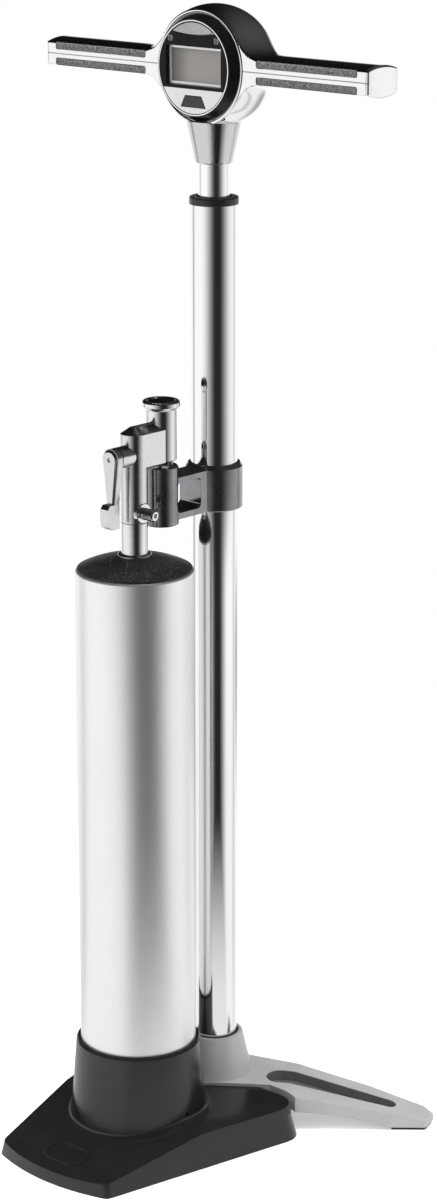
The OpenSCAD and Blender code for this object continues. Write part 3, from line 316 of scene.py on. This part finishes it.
def handle_shell(name, side):
    """One shell: the blended skin over half a turn, less the depth of the pads' beds, of the groove, of the
    rounded end and of the chamfer along the parting line."""
    x = shell_stations()[:, None]
    angle, first, last = shell_angles()
    reach = handle_reach(x, angle[None, :])
    folded = np.minimum(angle, math.pi - angle)[None, :]
    bed = (np.abs(x) > pad_from) & (np.abs(x) < pad_to) & (folded >= first - 1e-6) & (folded <= last + 1e-6)
    # the beds' corners are round: the bed stops at the corner's radius from the corner's centre
    height, round_bed = reach * np.sin(folded), pad_corner + pad_gap
    past_end = np.maximum(round_bed - np.minimum(np.abs(x) - pad_from, pad_to - np.abs(x)), 0)
    past_side = np.maximum(round_bed - np.minimum(height - pad_low, pad_top - height), 0)
    bed = bed & (np.hypot(past_end, past_side) <= round_bed + 0.02)
    groove = (np.abs(x) > groove_from) & (np.abs(x) < groove_to)
    reach = reach - bed_depth * bed - groove_depth * groove - parting_chamfer * (folded < 0.001)
    reach = reach - np.interp(np.abs(x), arm_end - end_back, end_drop)
    y, z = -np.cos(angle) * reach, side * np.sin(angle) * reach
    points = np.stack([np.broadcast_to(x, reach.shape), y, z], -1)
    return skin(name, points * MM + ball_middle, smooth=32, capped=True, flip=side > 0)


def new_material(name):
    """A new material, its node tree, its shader and the piece's own coordinates."""
    material = bpy.data.materials.new(name)
    material.use_nodes = True
    tree = material.node_tree
    place = tree.nodes.new("ShaderNodeTexCoord").outputs["Object"]
    return material, tree, tree.nodes["Principled BSDF"], place


def noise(tree, place, scale, detail):
    """Cloudy noise between nil and one, mostly near a half."""
    cloud = node_chain(tree, "ShaderNodeTexNoise", in_Vector=place, in_Scale=scale, in_Detail=detail)
    return cloud.outputs[0]


def spread(tree, value, first, last, start=0.3, end=0.7):
    """A straight line from first to last as the value goes from the start to the end, and level outside."""
    line = node_chain(tree, "ShaderNodeMapRange", in_0=value, in_1=start, in_2=end, in_3=first, in_4=last)
    return line.outputs[0]


def bump(tree, shader, height, strength, depth):
    """The shader's normals tilt with the slope of a height, which stands for this depth."""
    tilt = node_chain(tree, "ShaderNodeBump", in_Strength=strength, in_Distance=depth, in_Height=height)
    tree.links.new(tilt.outputs[0], shader.inputs["Normal"])


def polished(name, colour, roughness, fine=0.015):
    """Plated metal: a mirror finish whose roughness drifts a little, over faint orange peel."""
    material, tree, shader, place = new_material(name)
    shader.inputs["Base Color"].default_value = (*colour, 1)
    shader.inputs["Metallic"].default_value = 1.0
    drift = spread(tree, noise(tree, place, 38.0, 4.0), roughness * 0.8, roughness * 1.3)
    tree.links.new(drift, shader.inputs["Roughness"])
    bump(tree, shader, noise(tree, place, 260.0, 2.0), fine, 0.0006)
    return material


handle_chrome = polished("handle_chrome", (0.84, 0.84, 0.845), 0.06)
for half, side in (("upper", 1), ("lower", -1)):
    shell = handle_shell("handle_shell_" + half, side)
    shell.data.materials.append(handle_chrome)
    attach(shell, "handle")
    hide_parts("shell_" + half)


# ---- Grip pads ----
# Eight strips of soft rubber lie in beds along the arms' corners, glued in, with a
# fine pebbled grain. Each lies on the flat face and ends as the edge rounds over.
def pad_path(length):
    """The arm's section from the pad's low edge up the flat face and over its corner: points and outward
    normals at these lengths along it, and its whole length."""
    angle = np.linspace(math.atan2(pad_low, front_depth), math.atan2(pad_top, pad_wrap), 160)
    reach = arm_reach(angle)
    y, z = -np.cos(angle) * reach, np.sin(angle) * reach
    run = np.concatenate([[0], np.cumsum(np.hypot(np.diff(y), np.diff(z)))])
    dy, dz = np.gradient(y, run), np.gradient(z, run)
    where = np.clip(length, 0, run[-1])
    return [np.interp(where, run, line) for line in (y, z, -dz, dy)], run[-1]


def grip_pad(name, front, right, upper):
    """Rounded-rectangle rings, each set in from the one before and lifted by the edge's quarter round, then
    by a slight crown, and laid on the arm's section."""
    _, width = pad_path(np.array([0.0]))
    edge, crown, straight = 0.55, 0.22, 0.35
    half_length, half_width = (pad_to - pad_from) / 2 - pad_gap, width / 2 - pad_gap
    inset = np.concatenate([[0, 0, 0.08, 0.2, 0.36], np.linspace(edge, half_width - 0.05, 7)])[:, None]
    lift = np.concatenate([[-1.0, -edge, -0.26, -0.1, -0.03], np.linspace(0.0, crown, 7)])[:, None]
    # a rounded rectangle: a box shrunk by the corner's radius, plus the corner's circle
    corner = np.maximum(pad_corner - inset, 0.02)
    box_length, box_width = half_length - inset - corner, half_width - inset - corner
    # each quarter of a ring runs up to its corner, turns round it and runs off to the next
    quarter, part = np.divmod(np.linspace(0, 4, 240, endpoint=False), 1)
    quarter = quarter.astype(int)
    sweep = (np.clip((part - straight) / (1 - 2 * straight), 0, 1) + quarter) * math.pi / 2
    coming, going = np.clip(part / straight, 0, 1), np.clip((1 - part) / straight, 0, 1)
    even = quarter % 2 == 0
    corner_x = np.array([1, -1, -1, 1])[quarter] * np.where(even, going, coming)
    corner_y = np.array([1, 1, -1, -1])[quarter] * np.where(even, coming, going)
    along = box_length * corner_x + corner * np.cos(sweep)
    across = box_width * corner_y + corner * np.sin(sweep)
    (y, z, out_y, out_z), _ = pad_path(across + width / 2)
    mirror = np.array([1 if right else -1, 1 if front else -1, 1 if upper else -1])
    points = np.stack([along + (pad_from + pad_to) / 2, y + out_y * lift, z + out_z * lift], -1) * mirror
    return skin(name, points * MM + ball_middle, smooth=50, capped=True, flip=mirror.prod() < 0)


def pebbled_rubber():
    """Dark rubber with a fine pebble grain: cells about a millimetre across, with a painted highlight on
    their tops and painted shade in the pits.
    """
    material, tree, shader, place = new_material("grip_rubber")
    shader.inputs["Specular IOR Level"].default_value = 0.35
    shader.inputs["Roughness"].default_value = 0.62
    cells = node_chain(tree, "ShaderNodeTexVoronoi", feature='SMOOTH_F1', in_Vector=place, in_Scale=1050.0)
    pits = maths(tree, 'MULTIPLY', cells.outputs[0], 0.9)
    height = maths(tree, 'SUBTRACT', noise(tree, place, 620.0, 3.0), pits)
    # painted shade and highlight: the colour follows the grain's height, dark in the pits and light on the
    # tops
    shade = spread(tree, height, 0.035, 0.20, -0.25, 0.45)
    colour = node_chain(tree, "ShaderNodeCombineColor", in_0=shade, in_1=shade,
                        in_2=maths(tree, 'MULTIPLY', shade, 1.06))
    tree.links.new(colour.outputs[0], shader.inputs["Base Color"])
    bump(tree, shader, height, 0.7, 0.0004)
    return material


grip_rubber = pebbled_rubber()
for front in (1, 0):
    for upper in (1, 0):
        for right in (1, 0):
            words = "%s_%s_%s" % ("front" if front else "back", "upper" if upper else "lower",
                                  "right" if right else "left")
            pad = grip_pad("grip_" + words, front, right, upper)
            pad.data.materials.append(grip_rubber)
            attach(pad, "handle")
            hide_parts("pad_" + words)


# ---- Neck cone ----
# A turned and plated cone carries the ball. The rod is pressed into its bore, and
# the ball's underside sits in its hollowed top.
def softened(node, width, finish, segments=3, second=None, second_faces=None):
    """A copy of a CAD piece that takes its place: doubles merged, flat triangles joined, and each edge that
    turns more than 30 degrees rounded to the width. Chosen faces may take a second material, used here for
    painted shade."""
    source = frame["nodes"][node]
    mesh = source.data.copy()
    work = bmesh.new()
    work.from_mesh(mesh)
    bmesh.ops.remove_doubles(work, verts=work.verts, dist=3e-6)
    bmesh.ops.dissolve_limit(work, angle_limit=math.radians(0.6), verts=work.verts, edges=work.edges)
    work.to_mesh(mesh)
    work.free()
    mesh.materials.clear()
    mesh.materials.append(finish)
    count = len(mesh.polygons)
    mesh.polygons.foreach_set("use_smooth", np.ones(count, bool))
    index = np.zeros(count, int)
    if second:
        middle, normal = np.empty(count * 3), np.empty(count * 3)
        mesh.polygons.foreach_get("center", middle)
        mesh.polygons.foreach_get("normal", normal)
        mesh.materials.append(second)
        index = second_faces(middle.reshape(-1, 3), normal.reshape(-1, 3)).astype(int)
    mesh.polygons.foreach_set("material_index", index)
    piece = bpy.data.objects.new(node + "_visual", mesh)
    scene.collection.objects.link(piece)
    bevel = piece.modifiers.new("rounded_edges", 'BEVEL')
    bevel.width = width * MM
    bevel.segments = segments
    bevel.limit_method = 'ANGLE'
    bevel.angle_limit = math.radians(30)
    weigh = piece.modifiers.new("flat_faces_stay_flat", 'WEIGHTED_NORMAL')
    weigh.mode = 'FACE_AREA'
    weigh.weight = 90
    weigh.keep_sharp = False
    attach(piece, body_of(source)[0])
    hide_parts(node)


def finished(node, finish):
    """A CAD piece whose shape is right as it is takes its finish."""
    materials = frame["nodes"][node].data.materials
    materials.clear()
    materials.append(finish)


softened("neck_cone", 0.35, polished("neck_chrome", (0.58, 0.575, 0.59), 0.13, 0.08))


# ---- Gauge ----
# A black moulded housing lies in the ball's front behind a turned chrome ring. Its
# glossy face carries a display in a silver frame, a silver lower segment, a lens
# button above and a small rubber button below, held by two cross-headed screws.
def plain(name, colour, roughness, metallic=0.0, specular=0.5, mottle=0.06, scale=90.0, grain=0.0,
          grain_scale=900.0, coat=0.0):
    """A shader whose colour drifts by the mottle's share, and its roughness with it, over a fine moulded or
    cast grain."""
    material, tree, shader, place = new_material(name)
    shader.inputs["Metallic"].default_value = metallic
    shader.inputs["Specular IOR Level"].default_value = specular
    shader.inputs["Coat Weight"].default_value = coat
    shader.inputs["Coat Roughness"].default_value = 0.08
    cloud = noise(tree, place, scale, 5.0)
    dark, light = [(*[channel * (1 + sign * mottle) for channel in colour], 1) for sign in (-1, 1)]
    mottled = node_chain(tree, "ShaderNodeMix", data_type='RGBA', in_0=spread(tree, cloud, 0.0, 1.0),
                         in_6=dark, in_7=light)
    tree.links.new(mottled.outputs[2], shader.inputs["Base Color"])
    tree.links.new(spread(tree, cloud, roughness * 0.88, roughness * 1.12), shader.inputs["Roughness"])
    if grain:
        bump(tree, shader, noise(tree, place, grain_scale, 3.0), grain, 0.0004)
    return material


def display_grey():
    """The display's glass: liquid crystal grey, darker to the left, times a wave of faint columns."""
    left, middle, cell = -0.0215, -0.004, 0.0008
    material = plain("display_grey", (0.32, 0.305, 0.292), 0.24, specular=0.35, mottle=0.03)
    tree = material.node_tree
    shader = tree.nodes["Principled BSDF"]
    place = tree.nodes["Texture Coordinate"].outputs["Object"]
    x = node_chain(tree, "ShaderNodeSeparateXYZ", in_0=place).outputs[0]
    wave = maths(tree, 'SINE', maths(tree, 'MULTIPLY', x, 2 * math.pi / cell))
    columns = maths(tree, 'ADD', maths(tree, 'MULTIPLY', wave, 0.02), 1.0)
    shade = maths(tree, 'MULTIPLY', smooth_range(tree, x, left, middle, 0.29, 0.77), columns)
    mottled = shader.inputs["Base Color"].links[0].from_socket
    tinted = node_chain(tree, "ShaderNodeVectorMath", operation='SCALE', in_0=mottled, in_Scale=shade)
    tree.links.new(tinted.outputs[0], shader.inputs["Base Color"])
    return material


gauge_black = plain("gauge_black", (0.004, 0.004, 0.0045), 0.22, specular=0.35, grain=0.04)
face_black = plain("face_black", (0.004, 0.004, 0.0045), 0.16, specular=0.12, mottle=0.1)
ring_chrome = polished("ring_chrome", (0.86, 0.86, 0.87), 0.09)
segment_silver = plain("segment_silver", (0.74, 0.735, 0.74), 0.30, metallic=0.85, grain=0.12,
                       grain_scale=1400.0)
lcd_silver = plain("lcd_silver", (0.78, 0.78, 0.78), 0.32, metallic=0.6)
lens_grey = plain("lens_grey", (0.30, 0.30, 0.31), 0.26, metallic=0.35, mottle=0.12, coat=0.5)
button_rubber = plain("button_rubber", (0.028, 0.028, 0.030), 0.50, grain=0.5, grain_scale=1900.0)
screw_steel = polished("screw_steel", (0.46, 0.46, 0.48), 0.24, 0.04)
face_screw_steel = polished("face_screw_steel", (0.20, 0.20, 0.21), 0.3, 0.04)
softened("gauge_housing", 0.4, gauge_black)
softened("gauge_face", 0.15, face_black, segments=2)
softened("gauge_ring", 0.3, ring_chrome)
softened("face_rim", 0.12, ring_chrome, segments=2)
softened("face_segment", 0.12, segment_silver, segments=2)
softened("lcd_frame", 0.12, lcd_silver, segments=2)
finished("lcd_panel", display_grey())
softened("power_button", 0.35, lens_grey)
softened("mode_button", 0.4, button_rubber)
softened("face_screws", 0.12, face_screw_steel, segments=2)


# ---- Barrel, cap and rod ----
# The barrel is a drawn aluminium tube, polished and clear anodised, so it mirrors
# the room with faint streaks along its length. A moulded cap closes its top round
# the bush, and the harder chrome of the piston rod slides through it.
def drawn_tube(name, colour, roughness, streaks):
    """Polished tube: roughness and normals carry fine streaks, noise stretched fifty times along the tube."""
    material = polished(name, colour, roughness)
    tree = material.node_tree
    shader = tree.nodes["Principled BSDF"]
    place = tree.nodes["Texture Coordinate"].outputs["Object"]
    stretched = node_chain(tree, "ShaderNodeMapping", in_Vector=place, in_Scale=(1.0, 1.0, 0.02)).outputs[0]
    lines = noise(tree, stretched, 700.0, 4.0)
    bump(tree, shader, lines, streaks, 0.0005)
    tree.links.new(spread(tree, lines, roughness * 0.8, roughness * 1.6, 0.35), shader.inputs["Roughness"])
    return material


cap_black = plain("cap_black", (0.012, 0.012, 0.013), 0.32, specular=0.45, grain=0.10)
barrel_chrome = drawn_tube("barrel_chrome", (0.88, 0.88, 0.89), 0.075, 0.05)
finished("barrel_tube", barrel_chrome)
finished("piston_rod", drawn_tube("rod_chrome", (0.92, 0.92, 0.925), 0.14, 0.02))
softened("barrel_cap", 0.5, cap_black)


# ---- Air tank ----
# A wide aluminium tube, bead-blasted and clear anodised to a soft satin, stands in
# the foot's collar. A disc closes it below, and a domed black lid with a sealing
# ring above. The lid's skin is coarsely spark-eroded.
def blasted_aluminium():
    """Satin metal: a broad soft shine over a fine blasted grain, with slow clouds in its roughness."""
    material, tree, shader, place = new_material("blasted_aluminium")
    shader.inputs["Metallic"].default_value = 0.9
    grain = noise(tree, place, 1500.0, 3.0)
    colour = node_chain(tree, "ShaderNodeMix", data_type='RGBA', in_0=spread(tree, grain, 0.0, 1.0),
                        in_6=(0.845, 0.84, 0.855, 1), in_7=(0.91, 0.905, 0.915, 1))
    tree.links.new(colour.outputs[2], shader.inputs["Base Color"])
    tree.links.new(spread(tree, noise(tree, place, 16.0, 4.0), 0.32, 0.36), shader.inputs["Roughness"])
    bump(tree, shader, grain, 0.10, 0.0003)
    return material


def eroded_black():
    """Black moulding with scattered raised specks up to a millimetre wide, coloured lighter than the skin
    between as painted glints.
    """
    material = plain("eroded_black", (0.012, 0.011, 0.012), 0.42, specular=0.45, mottle=0.15)
    tree = material.node_tree
    shader = tree.nodes["Principled BSDF"]
    place = tree.nodes["Texture Coordinate"].outputs["Object"]
    cells = node_chain(tree, "ShaderNodeTexVoronoi", in_Vector=place, in_Scale=620.0, in_Randomness=1.0)
    specks = smooth_range(tree, cells.outputs[0], 0.10, 0.38, 1.0, 0.0)
    patches = smooth_range(tree, noise(tree, place, 120.0, 2.0), 0.42, 0.62, 0.15, 1.0)
    height = maths(tree, 'MULTIPLY', specks, patches)
    bump(tree, shader, height, 0.9, 0.0006)
    mottled = shader.inputs["Base Color"].links[0].from_socket
    # painted glints: the raised specks are coloured lighter than the black skin
    specks_painted_glint = node_chain(tree, "ShaderNodeMix", data_type='RGBA', in_0=height, in_6=mottled,
                       in_7=(0.10, 0.10, 0.10, 1))
    tree.links.new(specks_painted_glint.outputs[2], shader.inputs["Base Color"])
    return material


softened("tank_shell", 0.5, blasted_aluminium())
softened("tank_lid", 0.8, eroded_black())
finished("tank_bottom", plain("tank_steel", (0.60, 0.60, 0.61), 0.34, metallic=0.9, grain=0.1))


# ---- Valve block ----
# A zinc casting, filed, blasted lightly and nickel plated: its column rises from a
# turned stem, its arm carries the hose cup, and a spool turns in it behind the
# lever. Cast edges are soft, turned parts are crisper and brighter.
valve_cast = plain("valve_cast", (0.70, 0.695, 0.70), 0.19, metallic=1.0, mottle=0.05, scale=240.0,
                   grain=0.05, grain_scale=700.0)
valve_turned = polished("valve_turned", (0.76, 0.755, 0.765), 0.13, 0.04)
softened("valve_body", 0.7, valve_cast)
cup_low, cup_high = [np.array(corner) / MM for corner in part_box("hose_cup")]
bore_radius, bore_lip, bore_floor = 8.75, 0.95, 1.0


def painted_shade_bore_faces(middle, normal):
    """Faces inside the cup, which take the painted shade: those within the bore's radius of its axis, under
    its lip and above its floor.
    """
    x, y, z = middle.T / MM
    away = np.hypot(x, y - (cup_low[1] + cup_high[1]) / 2)
    return (away < bore_radius) & (z < cup_high[2] - bore_lip) & (z > cup_low[2] + bore_floor)


# painted shade: the cup's bore is coloured near black, standing in for the shade inside it
bore_painted_shade = plain("bore_painted_shade", (0.030, 0.030, 0.032), 0.38, metallic=0.6, mottle=0.2)
softened("hose_cup", 0.25, valve_turned, second=bore_painted_shade, second_faces=painted_shade_bore_faces)
softened("valve_stem", 0.3, valve_turned)
softened("stem_flange", 0.2, valve_turned)
finished("top_plug", plain("dark_plug", (0.03, 0.03, 0.032), 0.4, metallic=0.5))
finished("valve_spool", valve_turned)


# ---- Valve nipple ----
# A turned and plated nipple with a round flange screws into the column's side. Its
# shank is threaded for a hose nut, and a dull brass pin stands in its bore.
nipple_low, nipple_high = [np.array(corner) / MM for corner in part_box("nipple_body")]
nipple_radius, thread_pitch, thread_depth, core_hole = 3.85, 0.80, 0.42, 1.05
flange_thick, thread_run_in, thread_run_out = 4.4, 0.7, 0.85


def threaded_nipple():
    """Flange, shank and bore turned about X. The shank's radius dips by a rounded vee that runs round it as a
    screw thread and dies out at both ends."""
    flange, tip = nipple_low[0] + flange_thick, nipple_high[0]
    flange_radius = (nipple_high[2] - nipple_low[2]) / 2
    middle = (nipple_low + nipple_high) / 2
    turns = np.linspace(0, 2 * math.pi, 64, endpoint=False)[None, :]
    shank = np.linspace(flange + 0.05, tip - 0.9, 110)
    x = np.concatenate([[nipple_low[0], nipple_low[0], flange - 0.9, flange - 0.35, flange - 0.1, flange],
                        shank, [tip - 0.5, tip - 0.15, tip, tip, tip - 1.2, tip - 6.0]])[:, None]
    radius = np.concatenate([[0.6, flange_radius, flange_radius, flange_radius - 0.12, flange_radius - 0.5],
                             [3.9], np.full(len(shank), nipple_radius),
                             [3.35, 2.9, 2.5, 1.5, core_hole, core_hole]])[:, None]
    from_end = np.minimum(x - flange - thread_run_in, tip - thread_run_out - x)
    phase = (x - flange) / thread_pitch - turns / (2 * math.pi)
    vee = np.abs((phase % 1.0) * 2 - 1) ** 1.3
    reach = radius - np.clip(from_end / 0.5, 0, 1) * thread_depth * vee
    points = np.stack([np.broadcast_to(x, reach.shape), middle[1] + reach * np.cos(turns),
                       middle[2] + reach * np.sin(turns)], -1)
    return skin("valve_nipple_visual", points * MM, smooth=30, capped=True)


nipple = threaded_nipple()
nipple.data.materials.append(valve_turned)
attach(nipple, "stand")
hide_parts("nipple_body")
finished("core_pin", plain("core_brass", (0.36, 0.34, 0.31), 0.25, metallic=1.0))


# ---- Valve lever ----
# The lever is a flat casting on the spool's end, with a raised panel on its front and
# a knob cast over its tip. A screw pins it to the spool.
lever_cast = plain("lever_cast", (0.66, 0.655, 0.66), 0.24, metallic=1.0, mottle=0.06, scale=260.0,
                   grain=0.10, grain_scale=800.0)
softened("lever_plate", 0.6, lever_cast)
softened("lever_face", 0.3, lever_cast, segments=2)
softened("lever_knob", 0.9, lever_cast)
softened("lever_screw", 0.2, screw_steel, segments=2)


# ---- Clamp bracket ----
# A glass-filled nylon moulding under black metallic lacquer: its ring grips the
# barrel, its arm has a window through it, and its boss is screwed under the hose cup.
clamp_black = plain("clamp_black", (0.255, 0.25, 0.264), 0.11, metallic=0.96, mottle=0.12, grain=0.08,
                    grain_scale=1100.0)
softened("clamp_bracket", 0.8, clamp_black)
finished("clamp_screws", screw_steel)


# ---- Tank foot ----
# One nylon moulding: a hollow plate with drafted sides that slopes down to the front,
# and the collar that holds the tank, blended into the plate by a fillet.
tank_middle_y, collar_radius, collar_low, collar_lean = -74.5, 44.6, 25.0, 3.6 / 47.2
plate_high, plate_bend_y, plate_slope = 23.0, -80.0, 15.0 / 80.3
fillet_radius, fillet_sunk = 4.6, 0.6
badge_y, badge_half_straight, badge_half_wide, ridge_half_wide, ridge_high = -142.0, 7.0, 9.0, 1.25, 1.15


def plate_top(y):
    """Height of the plate's top: level at the back, then a straight slope down to the front edge."""
    return plate_high - np.clip(plate_bend_y - y, 0, None) * plate_slope


def collar_fillet():
    """A concave quarter round swept about the collar's foot and raised to the plate, dying out over the vee
    behind. Its first and last rings run on into the collar and the plate."""
    around = np.linspace(0, 2 * math.pi, 180, endpoint=False)[None, :]
    bend = np.linspace(0, math.pi / 2, 9)[:, None]
    from_back = np.abs((around + math.pi / 2) % (2 * math.pi) - math.pi)
    size = fillet_radius * np.clip((from_back - math.radians(12)) / math.radians(10), 0.02, 1)
    sunk = np.full(size.shape, -fillet_sunk)
    out = np.vstack([sunk, size * (1 - np.cos(bend)), size])
    up = np.vstack([size, size * (1 - np.sin(bend)), sunk])
    foot = plate_top(tank_middle_y + (collar_radius + out) * np.sin(around))
    reach = collar_radius - (foot + up - collar_low) * collar_lean + out
    points = np.stack([reach * np.cos(around), tank_middle_y + reach * np.sin(around), foot + up], -1)
    return skin("collar_fillet", points * MM, smooth=60, flip=True)


def badge_frame():
    """A rounded ridge swept round a stadium outline and laid on the slope: a badge's place, left bare."""
    turn = np.linspace(0, 2 * math.pi, 120, endpoint=False)
    bend = np.linspace(0, math.pi, 9)[:, None]
    reach = badge_half_wide + ridge_half_wide * np.cos(bend)
    x = np.cos(turn) * reach + np.sign(np.cos(turn)) * badge_half_straight
    y = badge_y + np.sin(turn) * reach * math.cos(math.atan(plate_slope))
    points = np.stack([x, y, plate_top(y) + ridge_high * np.sin(bend) - 0.1], -1)
    return skin("badge_frame", points * MM, smooth=60, flip=True)


foot_black = plain("foot_black", (0.014, 0.0125, 0.0135), 0.22, mottle=0.15, scale=60.0, grain=0.10,
                   grain_scale=1000.0)
softened("tank_foot", 1.5, foot_black)
for piece in (collar_fillet(), badge_frame()):
    piece.data.materials.append(foot_black)
    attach(piece, "stand")
finished("collar_screws", plain("dark_screw", (0.02, 0.02, 0.022), 0.35, metallic=0.6))
finished("foot_screws", screw_steel)


# ---- Base casting and its pads ----
# The two legs and the barrel's socket are one aluminium die casting, tumbled and
# satin lacquered. Each leg's hollow is painted darker as shade in the recess. Rubber
# pads are glued under the tips.
leg_turn, hollow_from, hollow_length, hollow_margin = math.radians(27), 48.0, 74.0, 0.6
hollow_radius, hollow_taper, hollow_aside, hollow_drift = 9.8, 4.8, 4.0, 4.5


def painted_shade_hollow_faces(middle, normal):
    """Faces inside either leg's hollow, which take its painted shade: within a circle that narrows and drifts
    as it runs along the leg, below the leg's sloping top and not facing down."""
    x, y, z = np.abs(middle[:, 0]) / MM, middle[:, 1] / MM, middle[:, 2] / MM
    along = x * math.cos(leg_turn) + y * math.sin(leg_turn)
    across = y * math.cos(leg_turn) - x * math.sin(leg_turn)
    share = np.clip((along - hollow_from) / hollow_length, 0, 1)
    away = np.hypot(along - hollow_from - hollow_length * share, across + hollow_aside - hollow_drift * share)
    inside = away < hollow_radius - hollow_taper * share + hollow_margin
    top = np.interp(along, [56, 155], [25.0, 6.0])
    return inside & (z < top - 0.25) & (z > 3.5) & (normal[:, 2] > -0.3)


cast_silver = plain("cast_silver", (0.48, 0.462, 0.475), 0.36, metallic=0.2, mottle=0.05, scale=70.0,
                    grain=0.22, grain_scale=850.0)
# painted shade: the hollows take a darker grey than the casting, standing in for the shade in the recess
hollow_painted_shade = plain("hollow_painted_shade", (0.22, 0.21, 0.21), 0.5, metallic=0.4, mottle=0.12, grain=0.3)
softened("base_casting", 1.2, cast_silver, second=hollow_painted_shade, second_faces=painted_shade_hollow_faces)
pad_black = plain("pad_rubber", (0.016, 0.016, 0.017), 0.78, mottle=0.12, grain=0.3, grain_scale=1300.0)
for side in ("left", "right"):
    softened("leg_pad_" + side, 0.4, pad_black, segments=2)


# ---- Inner pieces ----
# What the pump holds inside: seals and wiper of nitrile rubber, guides of natural
# acetal, black acetal piston, plug and poppet, the spring, the circuit board with its
# lacquer, its contacts and the shells' screws.
seal_black = plain("seal_rubber", (0.014, 0.014, 0.015), 0.6, grain=0.2)
acetal_pale = plain("pale_acetal", (0.72, 0.70, 0.65), 0.38, grain=0.08)
acetal_black = plain("inner_plastic", (0.03, 0.03, 0.032), 0.42, grain=0.1)
board_green = plain("board_green", (0.03, 0.16, 0.07), 0.3, mottle=0.2, scale=300.0)
contact_rubber = plain("contact_rubber", (0.20, 0.20, 0.21), 0.6, grain=0.2)
for finish, names in ((seal_black, ("plug_seal", "piston_seal", "rod_wiper", "lid_seal")),
                      (acetal_pale, ("rod_bush", "piston_guide")),
                      (acetal_black, ("foot_plug", "piston_head", "check_poppet")),
                      (screw_steel, ("check_spring", "shell_screws")),
                      (board_green, ("circuit_board",)),
                      (contact_rubber, ("button_contacts",))):
    for name in names:
        finished(name, finish)
